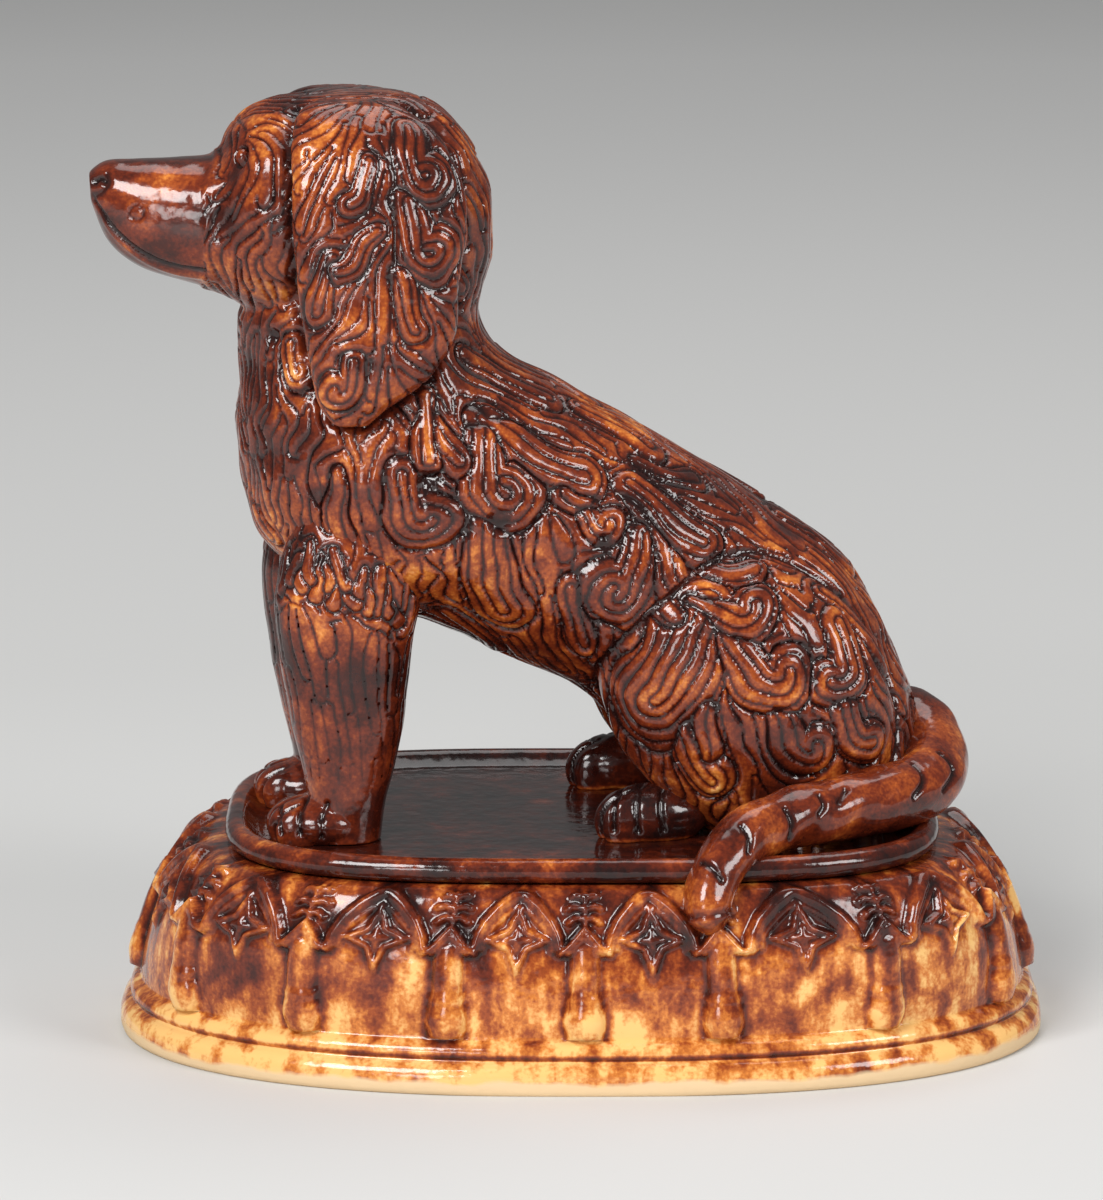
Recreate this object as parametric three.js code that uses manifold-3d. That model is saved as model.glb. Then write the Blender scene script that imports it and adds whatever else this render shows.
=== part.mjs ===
// A seated long-coated dog on an arcaded plinth, hollow press-moulded pottery under a brown glaze.
// Millimetres. X runs from the nose (minus) to the tail, Y from the dog's left side (minus, the
// side that shows) to its right, Z up. The origin lies on the ground under the figure's middle.
import * as THREE from "three";
import { mergeVertices } from "three/addons/utils/BufferGeometryUtils.js";
import Module from "manifold-3d";

// Fit between pieces luted together, and the thickness of the pressed clay
const luteGap = 0.3;
const clayWall = 6;

// Plinth: a foot band and a bead below a domed wall whose plan grows squarer as it rises
const footLength = 266;
const footWidth = 176;
const footSquareness = 2.4;
const footHeight = 9.2;
const footRoll = 3.4;
const beadHeight = 5.6;
const beadStep = 2.8;
const wallHeight = 41.2;
const endSlope = 25.8;
const sideSlope = 11.8;
const crownSquareness = 3.2;
const wallBulge = 1.6;
const plinthWall = 7;

// Arcade on the wall: eight unequal bays to each half turn, from the left end round the near side
const bayWidths = [50, 41, 42, 38, 38, 48, 45, 39];
const firstColumnAngle = 180;
const springHeight = 26;
const archRise = 14.6;
const archBand = 2.7;
const reliefOut = 1.7;
const reliefSink = 1.3;
const shaftRadius = 4;
const bulbRadius = 5.6;
const bulbHeight = 8.4;
const capWidth = 11.6;
const capHeight = 5.2;
const leafWidth = 10;
const leafHeight = 9;
const starPoints = 4;
const starSpan = 19;
const starWaist = 8.4;
const starDrop = 1.5;

// Platform slab with a half-round rim standing proud of its floor
const slabLength = 204;
const slabWidth = 144;
const slabSquareness = 3.3;
const rimRadius = 3.5;
const rimLip = 4.2;
const slabThickness = 7;
const ventDiameter = 18;
const ventX = 52;

// Dog's place on the slab
const dogTurn = 7;
const dogY = 6;

// Trunk from rump to throat: back x, back z, belly x, belly z, half width, above the slab's floor
const trunkStations = [
  [94, -8, 28, -8, 40],
  [98, 13.9, 22, 9.9, 43],
  [96.5, 30.9, 13, 20.9, 44],
  [89.5, 48.4, 5, 31.9, 44],
  [75.5, 73.4, -5, 39.9, 43],
  [49.5, 92.6, -23, 47.9, 42],
  [19.6, 111.1, -46, 58.9, 42],
  [-8, 126.4, -72, 66.9, 42.5],
  [-25.3, 137.4, -92.5, 84.9, 40],
  [-30, 148.9, -98.4, 113.9, 35],
  [-27, 161.9, -97.3, 134, 31],
  [-27, 173.9, -98.6, 147.5, 29],
];
const trunkSquareness = 2.15;

// Head from nape to nose: crown x, crown z, jaw x, jaw z, half width
const headStations = [
  [-26.5, 177.9, -26.5, 161.9, 9],
  [-29, 188.9, -30, 153.9, 18],
  [-40, 203.9, -42, 146.9, 27],
  [-62, 211.3, -62, 143.9, 32.5],
  [-80, 209.1, -80, 145.9, 32.5],
  [-93, 205.5, -93, 148.9, 29],
  [-99.5, 199.9, -99.5, 151.1, 24.5],
  [-103.5, 193.5, -103.5, 153.3, 20.5],
  [-114, 192.1, -114, 156.5, 17.5],
  [-126, 191.8, -126, 160.7, 14],
  [-135, 191.3, -134.5, 167.9, 10],
  [-140.2, 187.9, -139.6, 179.9, 4.5],
];
const headSquareness = 2.3;

// Thigh: a leaning egg on each side of the rump
const thighCentre = [43.5, 29, 39.5];
const thighRadii = [47, 22, 37.5];
const thighLean = 45;

// The way the hair lies
const hairWay = [0.45, 0, -1];

// Coat: curls in staggered rows, each a ridge that hooks round at its tip. Rows run along the
// trunk in shares of its length and round it in degrees from the spine; on a thigh they run down
// from its top, and round its outer side, in degrees.
const curlLength = 29;
const curlWidth = 8;
const curlHeight = 1.9;
const curlSink = 1.5;
const curlHook = 215;
const trunkRows = { from: 0.14, to: 0.87, count: 7 };
const trunkTurns = { from: 28, to: 152, step: 36 };
const thighRows = { from: 34, to: -18, count: 3 };
const thighTurns = { from: -42, to: 50, step: 42 };

// Pendant ear: height, front x, rear x, inner y, outer y
const earStations = [
  [209.4, -76, -59, 9, 21],
  [205.9, -82, -51, 16, 28],
  [198.9, -84.6, -43, 23, 35.5],
  [187.9, -84.8, -38, 28, 40],
  [173.9, -84.8, -37, 30, 42.5],
  [158.9, -83.8, -39.5, 30, 44],
  [145.9, -82, -40.5, 30, 45],
  [135.9, -80.3, -46, 31, 45.5],
  [127.4, -78.4, -57, 33, 44.5],
  [121.4, -74.5, -65, 36, 42],
];
const earSquareness = 2.7;

// Foreleg: height, front x, rear x, inner y, outer y
const forelegStations = [
  [99.9, -80, -56, 16, 30],
  [85.9, -86.5, -49, 10, 37],
  [71.9, -90, -48, 8, 39],
  [58.9, -89.6, -50.8, 9, 38.5],
  [46.9, -88, -52.2, 10.5, 37],
  [33, -85.6, -53.8, 11.5, 36],
  [21, -82.8, -56.4, 12.5, 35.5],
  [12, -81.2, -59, 13, 35.5],
  [-2, -82, -60.5, 13, 35.5],
];
const forelegSquareness = 2.2;

// Paws: middle x, middle y, half length, half width, height, and the toes across the front
const forepaw = { x: -77, y: 23.5, halfLength: 15.5, halfWidth: 13.5, height: 13, toes: 4 };
const hindPaw = { x: 16, y: 33, halfLength: 16, halfWidth: 9.5, height: 15.5, toes: 3 };

// Tail: a tapering roll from under the rump, round the near haunch and down over the rim. Its
// middle line is given in shares of the slab's half length and half width, then by the height
// above the slab's floor and the radius.
const tailPath = [
  [0.765, 0.292, 21.9, 9],
  [0.931, 0.208, 24.9, 9.4],
  [0.99, -0.042, 17.9, 9.6],
  [0.951, -0.264, 13.9, 9.6],
  [0.838, -0.431, 12.5, 9.5],
  [0.696, -0.576, 11.7, 9],
  [0.559, -0.715, 11.1, 8.4],
  [0.446, -0.854, 8.5, 8],
  [0.373, -0.972, 1.9, 7.4],
  [0.339, -1.05, -6.1, 6.8],
  [0.349, -1.083, -15.6, 5.2],
];

// Coil of clay pressed along the inside of the seam between the two halves of the body
const coilThickness = 3;
const coilWidth = 9;

// Facets round each kind of section
const plinthSides = 34;
const columnSides = 6;
const bodySides = 20;
const thighSides = 16;
const hollowSides = 10;
const curlSteps = 4;
const limbSides = 10;
const earSides = 12;
const tailSides = 8;
const ventSides = 24;

const brown = new THREE.MeshStandardMaterial({ color: 0x4a2113, roughness: 0.16, metalness: 0 });
const darkBrown = new THREE.MeshStandardMaterial({ color: 0x2e130c, roughness: 0.14, metalness: 0 });
const mottled = new THREE.MeshStandardMaterial({ color: 0x8a4a1c, roughness: 0.16, metalness: 0 });
const bareClay = new THREE.MeshStandardMaterial({ color: 0xcdb083, roughness: 0.85, metalness: 0 });

const wasm = await Module();
wasm.setup();

// Heights that follow from the sizes above
const beadTop = footHeight + beadHeight;
const crownHeight = beadTop + wallHeight;
const slabBottom = crownHeight + luteGap;
const rimHeight = slabBottom + rimRadius;
const floorHeight = slabBottom + 2 * rimRadius - rimLip;
const wallFootInset = footRoll + beadStep;

const radians = (degrees) => (degrees * Math.PI) / 180;
const mix = THREE.MathUtils.lerp;

// A cosine or sine pushed towards a square section.
const squared = (value, squareness) => Math.sign(value) * Math.abs(value) ** (2 / squareness);

// A closed skin through rings of equally many points, with a flat fan over each end.
function skin(rings) {
  const sides = rings[0].length;
  const points = rings.flat();
  const faces = [];
  for (let ring = 0; ring + 1 < rings.length; ring++) {
    for (let side = 0; side < sides; side++) {
      const low = ring * sides + side;
      const lowNext = ring * sides + ((side + 1) % sides);
      faces.push(low, lowNext, lowNext + sides, low, lowNext + sides, low + sides);
    }
  }
  const middle = (ring) =>
    ring.reduce((sum, p) => sum.add(p), new THREE.Vector3()).divideScalar(ring.length);
  const lastStart = (rings.length - 1) * sides;
  points.push(middle(rings[0]), middle(rings.at(-1)));
  for (let side = 0; side < sides; side++) {
    const next = (side + 1) % sides;
    faces.push(points.length - 2, next, side);
    faces.push(points.length - 1, lastStart + side, lastStart + next);
  }
  return outward(new THREE.BufferGeometry().setFromPoints(points).setIndex(faces));
}

// The same closed surface with its faces turned out.
function outward(geometry) {
  const at = geometry.getAttribute("position");
  const faces = geometry.index.array;
  const corner = [new THREE.Vector3(), new THREE.Vector3(), new THREE.Vector3()];
  let volume = 0;
  for (let i = 0; i < faces.length; i += 3) {
    corner.forEach((c, k) => c.fromBufferAttribute(at, faces[i + k]));
    volume += corner[0].dot(corner[1].clone().cross(corner[2]));
  }
  if (volume < 0) {
    geometry.setIndex(Array.from(faces).reverse());
  }
  return geometry;
}

// A closed geometry as a solid that can be joined and cut.
function solid(geometry) {
  const bare = new THREE.BufferGeometry();
  bare.setAttribute("position", geometry.getAttribute("position"));
  if (geometry.index) {
    bare.setIndex(geometry.index);
  }
  const merged = mergeVertices(bare, 1e-4);
  const faces = [];
  const index = merged.index.array;
  for (let i = 0; i < index.length; i += 3) {
    const [a, b, c] = index.subarray(i, i + 3);
    if (a !== b && b !== c && c !== a) {
      faces.push(a, b, c);
    }
  }
  const vertProperties = new Float32Array(merged.getAttribute("position").array);
  return new wasm.Manifold(
    new wasm.Mesh({ numProp: 3, vertProperties, triVerts: new Uint32Array(faces) }),
  );
}

const joined = (solids) => solids.reduce((sum, one) => sum.add(one));

// A named mesh of a finished solid.
function piece(name, body, material) {
  const made = body.getMesh();
  const geometry = new THREE.BufferGeometry();
  geometry.setAttribute("position", new THREE.BufferAttribute(made.vertProperties, 3));
  geometry.setIndex(new THREE.BufferAttribute(made.triVerts, 1));
  geometry.computeVertexNormals();
  const mesh = new THREE.Mesh(geometry, material);
  mesh.name = name;
  return mesh;
}

// An axis-aligned block between two corners.
function block(low, high) {
  const size = high.map((value, axis) => value - low[axis]);
  const geometry = new THREE.BoxGeometry(...size);
  geometry.translate(...high.map((value, axis) => (value + low[axis]) / 2));
  return geometry;
}

// A scaled ball.
function egg(centre, radii, around, rows) {
  const geometry = new THREE.SphereGeometry(1, around, rows);
  geometry.rotateX(Math.PI / 2);
  geometry.scale(...radii);
  geometry.translate(...centre);
  return geometry;
}

// Plinth wall: plan and inset at a height, as the distance from the middle in one direction
function wallReach(angle, height, inset = 0) {
  const share = THREE.MathUtils.clamp((height - beadTop) / wallHeight, 0, 1);
  const drawnIn = 1 - Math.sqrt(1 - share ** wallBulge);
  const halfLength = footLength / 2 - wallFootInset - endSlope * drawnIn - inset;
  const halfWidth = footWidth / 2 - wallFootInset - sideSlope * drawnIn - inset;
  const squareness = mix(footSquareness, crownSquareness, share);
  return planReach(angle, halfLength, halfWidth, squareness);
}

function planReach(angle, halfLength, halfWidth, squareness) {
  const alongX = Math.abs(Math.cos(angle) / halfLength) ** squareness;
  const alongY = Math.abs(Math.sin(angle) / halfWidth) ** squareness;
  return (alongX + alongY) ** (-1 / squareness);
}

const planPoint = (angle, reach, height) =>
  new THREE.Vector3(reach * Math.cos(angle), reach * Math.sin(angle), height);

function wallRing(height, inset, sides) {
  return evenAngles(sides).map((a) => planPoint(a, wallReach(a, height, inset), height));
}

function footRing(height, inset, sides) {
  const half = [footLength / 2 - inset, footWidth / 2 - inset, footSquareness];
  return evenAngles(sides).map((a) => planPoint(a, planReach(a, ...half), height));
}

// Distance along the wall at the height where the arches spring, and the angle at a distance
const springLevel = beadTop + springHeight;
const wallWalk = (() => {
  const steps = 720;
  const walk = [0];
  const start = radians(firstColumnAngle);
  let last = planPoint(start, wallReach(start, springLevel), springLevel);
  for (let i = 1; i <= steps; i++) {
    const angle = start + (2 * Math.PI * i) / steps;
    const next = planPoint(angle, wallReach(angle, springLevel), springLevel);
    walk.push(walk[i - 1] + next.distanceTo(last));
    last = next;
  }
  return { steps, walk, start, length: walk[steps] };
})();

function angleAlong(distance) {
  const { steps, walk, start, length } = wallWalk;
  const turns = Math.floor(distance / length);
  const rest = distance - turns * length;
  let i = 1;
  while (i < steps && walk[i] < rest) {
    i++;
  }
  const part = (rest - walk[i - 1]) / (walk[i] - walk[i - 1]);
  return start + 2 * Math.PI * (turns + (i - 1 + part) / steps);
}

const evenAngles = (sides) =>
  Array.from({ length: sides }, (_, i) => angleAlong((wallWalk.length * i) / sides));

// A point of the relief: along the wall, above the wall's foot, and out from its face
function onWall(along, up, out) {
  const angle = angleAlong(along);
  const height = beadTop + up;
  const step = 0.01;
  const here = planPoint(angle, wallReach(angle, height), height);
  const beside = planPoint(angle + step, wallReach(angle + step, height), height);
  const above = planPoint(angle, wallReach(angle, height + step), height + step);
  const normal = beside.sub(here).cross(above.sub(here)).normalize();
  return here.addScaledVector(normal, out);
}

// Relief drawn flat and laid on the wall, with its own origin at a distance along it
function laidOnWall(flat, along, up) {
  const geometry = flat.clone();
  const at = geometry.getAttribute("position");
  for (let i = 0; i < at.count; i++) {
    const p = onWall(along + at.getX(i), up + at.getY(i), at.getZ(i));
    at.setXYZ(i, p.x, p.y, p.z);
  }
  return solid(geometry);
}

// A flat outline raised from inside the wall to the face of the relief
function raised(outline, out = reliefOut) {
  const shape = new THREE.Shape(outline.map(([x, y]) => new THREE.Vector2(x, y)));
  const geometry = new THREE.ExtrudeGeometry(shape, {
    depth: out + reliefSink,
    bevelEnabled: false,
  });
  geometry.translate(0, 0, -reliefSink);
  return geometry;
}

// Pointed arch over one bay: two curves that meet at the apex, as a band of even width, whose
// feet end behind the gablets over the columns
function archOver(width) {
  const foot = capWidth * 0.2;
  const curve = (rise, start) =>
    new THREE.QuadraticBezierCurve(
      new THREE.Vector2(start, 0),
      new THREE.Vector2(mix(start, width / 2, 0.3), rise * 0.8),
      new THREE.Vector2(width / 2, rise),
    ).getPoints(3);
  const outer = curve(archRise, foot);
  const inner = curve(archRise - archBand * 1.2, foot + archBand);
  const mirrored = (points) => points.slice(0, -1).reverse();
  const there = (p) => [p.x, p.y];
  const back = (p) => [width - p.x, p.y];
  return raised([
    ...outer.map(there),
    ...mirrored(outer).map(back),
    ...inner.slice(0, -1).map(back),
    ...inner.slice().reverse().map(there),
  ]);
}

// Engaged baluster column with a ringed bulb at its foot
function column() {
  const profile = [
    [0, -0.6],
    [shaftRadius * 1.05, -0.6],
    [bulbRadius, bulbHeight * 0.6],
    [shaftRadius, bulbHeight + 2],
    [shaftRadius, springHeight - 0.8],
    [0, springHeight - 0.8],
  ];
  const turned = new THREE.LatheGeometry(
    profile.map(([r, h]) => new THREE.Vector2(r, h)),
    columnSides,
  );
  turned.scale(1, 1, (reliefOut + 1) / bulbRadius);
  return turned;
}

// Little gable that caps a column
function gablet() {
  const half = capWidth / 2;
  const outline = [
    [-half, -0.4],
    [-shaftRadius, -1.8],
    [shaftRadius, -1.8],
    [half, -0.4],
    [0, capHeight],
  ];
  return raised(outline, reliefOut + 0.6);
}

// Leaf sprig between two arches
function leaf() {
  const side = [
    [0.09, -0.12],
    [0.5, 0.36],
    [0.12, 0.46],
    [0.36, 0.74],
  ].map(([x, y]) => [x * leafWidth, y * leafHeight]);
  const mirrored = side.map(([x, y]) => [-x, y]).reverse();
  return raised([...side, [0, leafHeight], ...mirrored], reliefOut * 0.7);
}

// Four-pointed star with a ridge along each ray
function star() {
  const corners = 2 * starPoints;
  const rim = Array.from({ length: corners }, (_, i) => {
    const reach = (i % 2 ? starWaist : starSpan) / 2;
    const angle = (2 * Math.PI * i) / corners;
    return [reach * Math.cos(angle), reach * Math.sin(angle)];
  });
  const layer = (out) => rim.map(([x, y]) => new THREE.Vector3(x, y, out));
  const rings = [layer(-reliefSink), layer(reliefOut * 0.5)];
  const geometry = skin(rings);
  const peak = geometry.getAttribute("position");
  const top = peak.count - 1;
  peak.setZ(top, reliefOut + 0.8);
  return geometry;
}

function arcadeRelief() {
  const total = 2 * bayWidths.reduce((sum, w) => sum + w);
  const scale = wallWalk.length / total;
  const solids = [];
  let along = 0;
  for (const bay of [...bayWidths, ...bayWidths]) {
    const width = bay * scale;
    const crown = springHeight + capHeight;
    solids.push(laidOnWall(archOver(width), along, springHeight));
    solids.push(laidOnWall(column(), along, 0));
    solids.push(laidOnWall(gablet(), along, springHeight));
    solids.push(laidOnWall(leaf(), along, crown + 0.4));
    solids.push(laidOnWall(star(), along + width / 2, springHeight + starDrop));
    along += width;
  }
  return joined(solids);
}

// Levels of the domed wall's rings, closer together where it bends over to the crown
const wallShares = [0, 0.4, 0.7, 0.9, 1];

// Foot band, bead and domed wall, open below and above
function plinthShell() {
  const rings = [
    footRing(0, 0.9, plinthSides),
    footRing(2.4, 0, plinthSides),
    footRing(footHeight - footRoll * 0.8, 0.3, plinthSides),
    footRing(footHeight, footRoll, plinthSides),
    footRing(footHeight + beadHeight * 0.25, footRoll - 0.2, plinthSides),
    footRing(footHeight + beadHeight * 0.7, footRoll, plinthSides),
    ...wallShares.map((share) => wallRing(beadTop + wallHeight * share, 0, plinthSides)),
  ];
  const hollow = [-1, 0.4, 0.7, 0.9, 1.05].map((share) =>
    wallRing(beadTop + wallHeight * share, plinthWall, plinthSides / 2),
  );
  return { outer: solid(skin(rings)), hollow: solid(skin(hollow)) };
}

// The plinth's outside, swollen by the lute gap, for cutting what lies against it
function plinthAround(gap) {
  const rings = wallShares.map((share) =>
    wallRing(beadTop + wallHeight * share, -gap, plinthSides),
  );
  return solid(skin(rings));
}

function slabRings(gap) {
  const out = rimRadius + gap;
  const plan = (inset, height) =>
    evenAngles(plinthSides).map((a) =>
      planPoint(a, planReach(a, slabLength / 2 - inset, slabWidth / 2 - inset, slabSquareness), height),
    );
  const bend = [-90, -45, 0, 45, 90, 130];
  const rim = bend.map((degrees) =>
    plan(rimRadius - out * Math.cos(radians(degrees)), rimHeight + out * Math.sin(radians(degrees))),
  );
  const floorInset = rimRadius * 2.6 + gap;
  return [...rim, plan(floorInset, floorHeight + gap)];
}

// The slab, whose underside drops into the mouth of the wall, with its vent
function slab() {
  const mouth = wallRing(crownHeight, plinthWall + 2 * luteGap, plinthSides);
  const inMouth = [floorHeight - slabThickness, slabBottom].map((height) =>
    mouth.map((p) => new THREE.Vector3(p.x, p.y, height)),
  );
  const vent = new THREE.CylinderGeometry(
    ventDiameter / 2,
    ventDiameter / 2,
    4 * slabThickness,
    ventSides,
  );
  vent.rotateX(Math.PI / 2);
  vent.translate(ventX, 0, 0);
  vent.applyMatrix4(placeDog);
  return solid(skin([...inMouth, ...slabRings(0)])).subtract(solid(vent));
}

// The body's skin: the point at a share of its length and a turn round it from the back, on an
// oval between a point on the back and one on the belly
function bodySkin(stations, squareness, inset) {
  const curve = (points) => new THREE.CatmullRomCurve3(points);
  const back = curve(stations.map(([x, z]) => new THREE.Vector3(x, 0, z)));
  const belly = curve(stations.map(([, , x, z]) => new THREE.Vector3(x, 0, z)));
  const width = curve(stations.map((s) => new THREE.Vector3(s[4], 0, 0)));
  return (t, turn) => {
    const high = back.getPoint(t);
    const low = belly.getPoint(t);
    const half = high.clone().sub(low).divideScalar(2);
    const point = high.add(low).divideScalar(2);
    half.setLength(half.length() - inset);
    point.addScaledVector(half, squared(Math.cos(turn), squareness));
    point.y = (width.getPoint(t).x - inset) * squared(Math.sin(turn), squareness);
    return point;
  };
}

function bodyLoft(stations, rings, sides, squareness, inset, from = 0, to = 1) {
  const at = bodySkin(stations, squareness, inset);
  const ring = (t) => Array.from({ length: sides }, (_, i) => at(t, (2 * Math.PI * i) / sides));
  return skin(Array.from({ length: rings }, (_, i) => ring(mix(from, to, i / (rings - 1)))));
}

// A thigh's skin: the point at a height above its waist and a turn from its outer side, as angles
function thighSkin(side, inset) {
  const radii = thighRadii.map((r) => r - inset);
  const [x, y, z] = thighCentre;
  return (lift, turn) => {
    const level = Math.cos(lift);
    const point = new THREE.Vector3(
      radii[0] * level * Math.sin(turn),
      side * radii[1] * level * Math.cos(turn),
      radii[2] * Math.sin(lift),
    );
    point.applyAxisAngle(new THREE.Vector3(0, 1, 0), radians(thighLean));
    return point.add(new THREE.Vector3(x, side * y, z));
  };
}

function thighEgg(side, inset) {
  const [x, y, z] = thighCentre;
  const geometry = egg([0, 0, 0], thighRadii.map((r) => r - inset), thighSides, 9);
  geometry.rotateY(radians(thighLean));
  geometry.translate(x, side * y, z);
  return geometry;
}

// Flat relief laid on a skin round one of its points, with the flat X turned down and back as
// the hair lies
function laidOnSkin(flat, at, u, v, side) {
  const step = 1e-3;
  const here = at(u, v);
  const alongU = at(u + step, v).sub(here).divideScalar(step);
  const alongV = at(u, v + step).sub(here).divideScalar(step);
  const out = alongV.clone().cross(alongU).normalize();
  out.multiplyScalar(Math.sign(out.y * side) || 1);
  const ahead = new THREE.Vector3(...hairWay).projectOnPlane(out).normalize();
  const beside = out.clone().cross(ahead).multiplyScalar(side);
  const [uu, uv, vv] = [alongU.dot(alongU), alongU.dot(alongV), alongV.dot(alongV)];
  const geometry = flat.clone();
  const points = geometry.getAttribute("position");
  for (let i = 0; i < points.count; i++) {
    const off = ahead.clone().multiplyScalar(points.getX(i));
    off.addScaledVector(beside, points.getY(i));
    const [du, dv] = [alongU.dot(off), alongV.dot(off)];
    const size = uu * vv - uv * uv;
    const place = at(u + (vv * du - uv * dv) / size, v + (uu * dv - uv * du) / size);
    points.setXYZ(i, ...place.addScaledVector(out, points.getZ(i)));
  }
  return solid(outward(geometry));
}

// A curl drawn flat: a ridge that sets out along X and hooks round to one hand, its origin
// halfway along
function curl(hand, gap) {
  const step = curlLength / curlSteps;
  const spine = [new THREE.Vector2()];
  const headings = [0];
  for (let i = 0; i < curlSteps; i++) {
    const heading = hand * radians(curlHook) * ((i + 0.5) / curlSteps) ** 2;
    const way = new THREE.Vector2(Math.cos(heading), Math.sin(heading));
    spine.push(spine[i].clone().addScaledVector(way, step));
    headings.push(heading);
  }
  const middle = spine[curlSteps / 2];
  const rings = spine.map((place, i) => {
    const girth = i % curlSteps ? Math.sin(Math.PI * (i / curlSteps) ** 0.9) ** 0.5 : 0;
    const width = (curlWidth / 2 + gap) * girth;
    const height = (curlHeight + gap + curlSink) * girth - curlSink;
    const turned = headings[i] + Math.PI / 2;
    const { x, y } = place.clone().sub(middle);
    const [across, along] = [width * Math.cos(turned), width * Math.sin(turned)];
    return [
      new THREE.Vector3(x + across, y + along, -curlSink),
      new THREE.Vector3(x, y, height),
      new THREE.Vector3(x - across, y - along, -curlSink),
    ];
  });
  return skin(rings);
}

// The coat's curls on one side, clear of the thigh where they lie on the trunk
function coatCurls(side, inset) {
  const shapes = [curl(1, -inset), curl(-1, -inset)];
  const trunk = bodySkin(trunkStations, trunkSquareness, 0);
  const thigh = thighSkin(side, 0);
  const leaned = new THREE.Vector3(0, 1, 0);
  const underThigh = (point) => {
    const [x, y, z] = thighCentre;
    const off = point.clone().sub(new THREE.Vector3(x, side * y, z));
    off.applyAxisAngle(leaned, -radians(thighLean)).divide(new THREE.Vector3(...thighRadii));
    return off.length() < 1.25;
  };
  const rows = ({ from, to, count }) =>
    Array.from({ length: count }, (_, i) => mix(from, to, i / (count - 1)));
  const solids = [];
  rows(trunkRows).forEach((t, row) => {
    const first = trunkTurns.from + (row % 2) * trunkTurns.step * 0.5;
    for (let degrees = first; degrees < trunkTurns.to; degrees += trunkTurns.step) {
      const turn = side * radians(degrees);
      if (!underThigh(trunk(t, turn))) {
        solids.push(laidOnSkin(shapes[row % 2], trunk, t, turn, side));
      }
    }
  });
  rows(thighRows).forEach((lift, row) => {
    const first = thighTurns.from + (row % 2) * thighTurns.step * 0.5;
    for (let degrees = first; degrees < thighTurns.to; degrees += thighTurns.step) {
      solids.push(laidOnSkin(shapes[row % 2], thigh, radians(lift), radians(degrees), side));
    }
  });
  return joined(solids);
}

// The outside of trunk, head and thighs, drawn in by an inset or swollen by a negative one
function bodySolid(inset) {
  return joined([
    coatCurls(-1, inset),
    coatCurls(1, inset),
    solid(bodyLoft(trunkStations, 14, bodySides, trunkSquareness, inset)),
    solid(bodyLoft(headStations, 13, bodySides, headSquareness, inset)),
    solid(thighEgg(-1, inset)),
    solid(thighEgg(1, inset)),
  ]);
}

// The hollow inside, open through the seat and ending short of the nape and the nose
function bodyHollow(inset) {
  const nape = 0.08 + 0.01 * inset;
  const nose = 0.92 - 0.01 * inset;
  return joined([
    solid(bodyLoft(trunkStations, 10, hollowSides, trunkSquareness, inset)),
    solid(bodyLoft(headStations, 7, hollowSides, headSquareness, inset, nape, nose)),
  ]);
}

// Where the dog sits on the slab's floor
const placeDog = new THREE.Matrix4()
  .makeRotationZ(radians(dogTurn))
  .setPosition(0, dogY, floorHeight);

// All that lies under the dog, rim and floor of the slab, in the dog's own frame
const far = 400;
const belowSeat = solid(block([-far, -far, -far], [far, far, luteGap])).add(
  solid(skin(slabRings(luteGap)).applyMatrix4(placeDog.clone().invert())),
);
const sideOf = (side, clear) =>
  solid(side < 0 ? block([-far, -far, -far], [far, -clear, far]) : block([-far, clear, -far], [far, far, far]));

function bodyHalf(side) {
  return bodySolid(0)
    .subtract(bodyHollow(clayWall))
    .subtract(belowSeat)
    .intersect(sideOf(side, luteGap / 2));
}

function seamCoil() {
  const inset = clayWall + luteGap;
  const band = solid(block([-far, -coilWidth / 2, -far], [far, coilWidth / 2, far]));
  return bodyHollow(inset)
    .subtract(bodyHollow(inset + coilThickness))
    .subtract(belowSeat)
    .intersect(band);
}

// Level sections, each an oval that fills a box from front to rear and from inner to outer side
function levelLoft(stations, rings, sides, squareness, side, gap = 0) {
  const curve = (pick) =>
    new THREE.CatmullRomCurve3(stations.map((s) => new THREE.Vector3(...pick(s))));
  const length = curve(([z, front, rear]) => [front - gap, rear + gap, z]);
  const depth = curve(([z, , , inner, outer]) => [inner - gap, outer + gap, z]);
  const ring = (t) => {
    const { x: front, y: rear, z } = length.getPoint(t);
    const { x: inner, y: outer } = depth.getPoint(t);
    return Array.from({ length: sides }, (_, i) => {
      const turn = (2 * Math.PI * i) / sides;
      const x = (front + rear) / 2 + ((rear - front) / 2) * squared(Math.cos(turn), squareness);
      const y = (inner + outer) / 2 + ((outer - inner) / 2) * squared(Math.sin(turn), squareness);
      return new THREE.Vector3(x, side * y, z);
    });
  };
  return solid(skin(Array.from({ length: rings }, (_, i) => ring(i / (rings - 1)))));
}

// A paw: a low pad with the toes side by side across its front
function paw({ x, y, halfLength, halfWidth, height, toes }, side) {
  const solids = [
    solid(egg([x, side * y, height * 0.4], [halfLength, halfWidth, height * 0.6], 10, 5)),
  ];
  const pitch = (2 * halfWidth * 0.82) / toes;
  for (let toe = 0; toe < toes; toe++) {
    const offset = (toe - (toes - 1) / 2) * pitch;
    const drawnBack = (offset / halfWidth) ** 2 * halfLength * 0.35;
    const centre = [x - halfLength * 0.62 + drawnBack, side * y + offset, height * 0.3];
    solids.push(solid(egg(centre, [halfLength * 0.42, pitch * 0.6, height * 0.5], 7, 4)));
  }
  return joined(solids);
}

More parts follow.
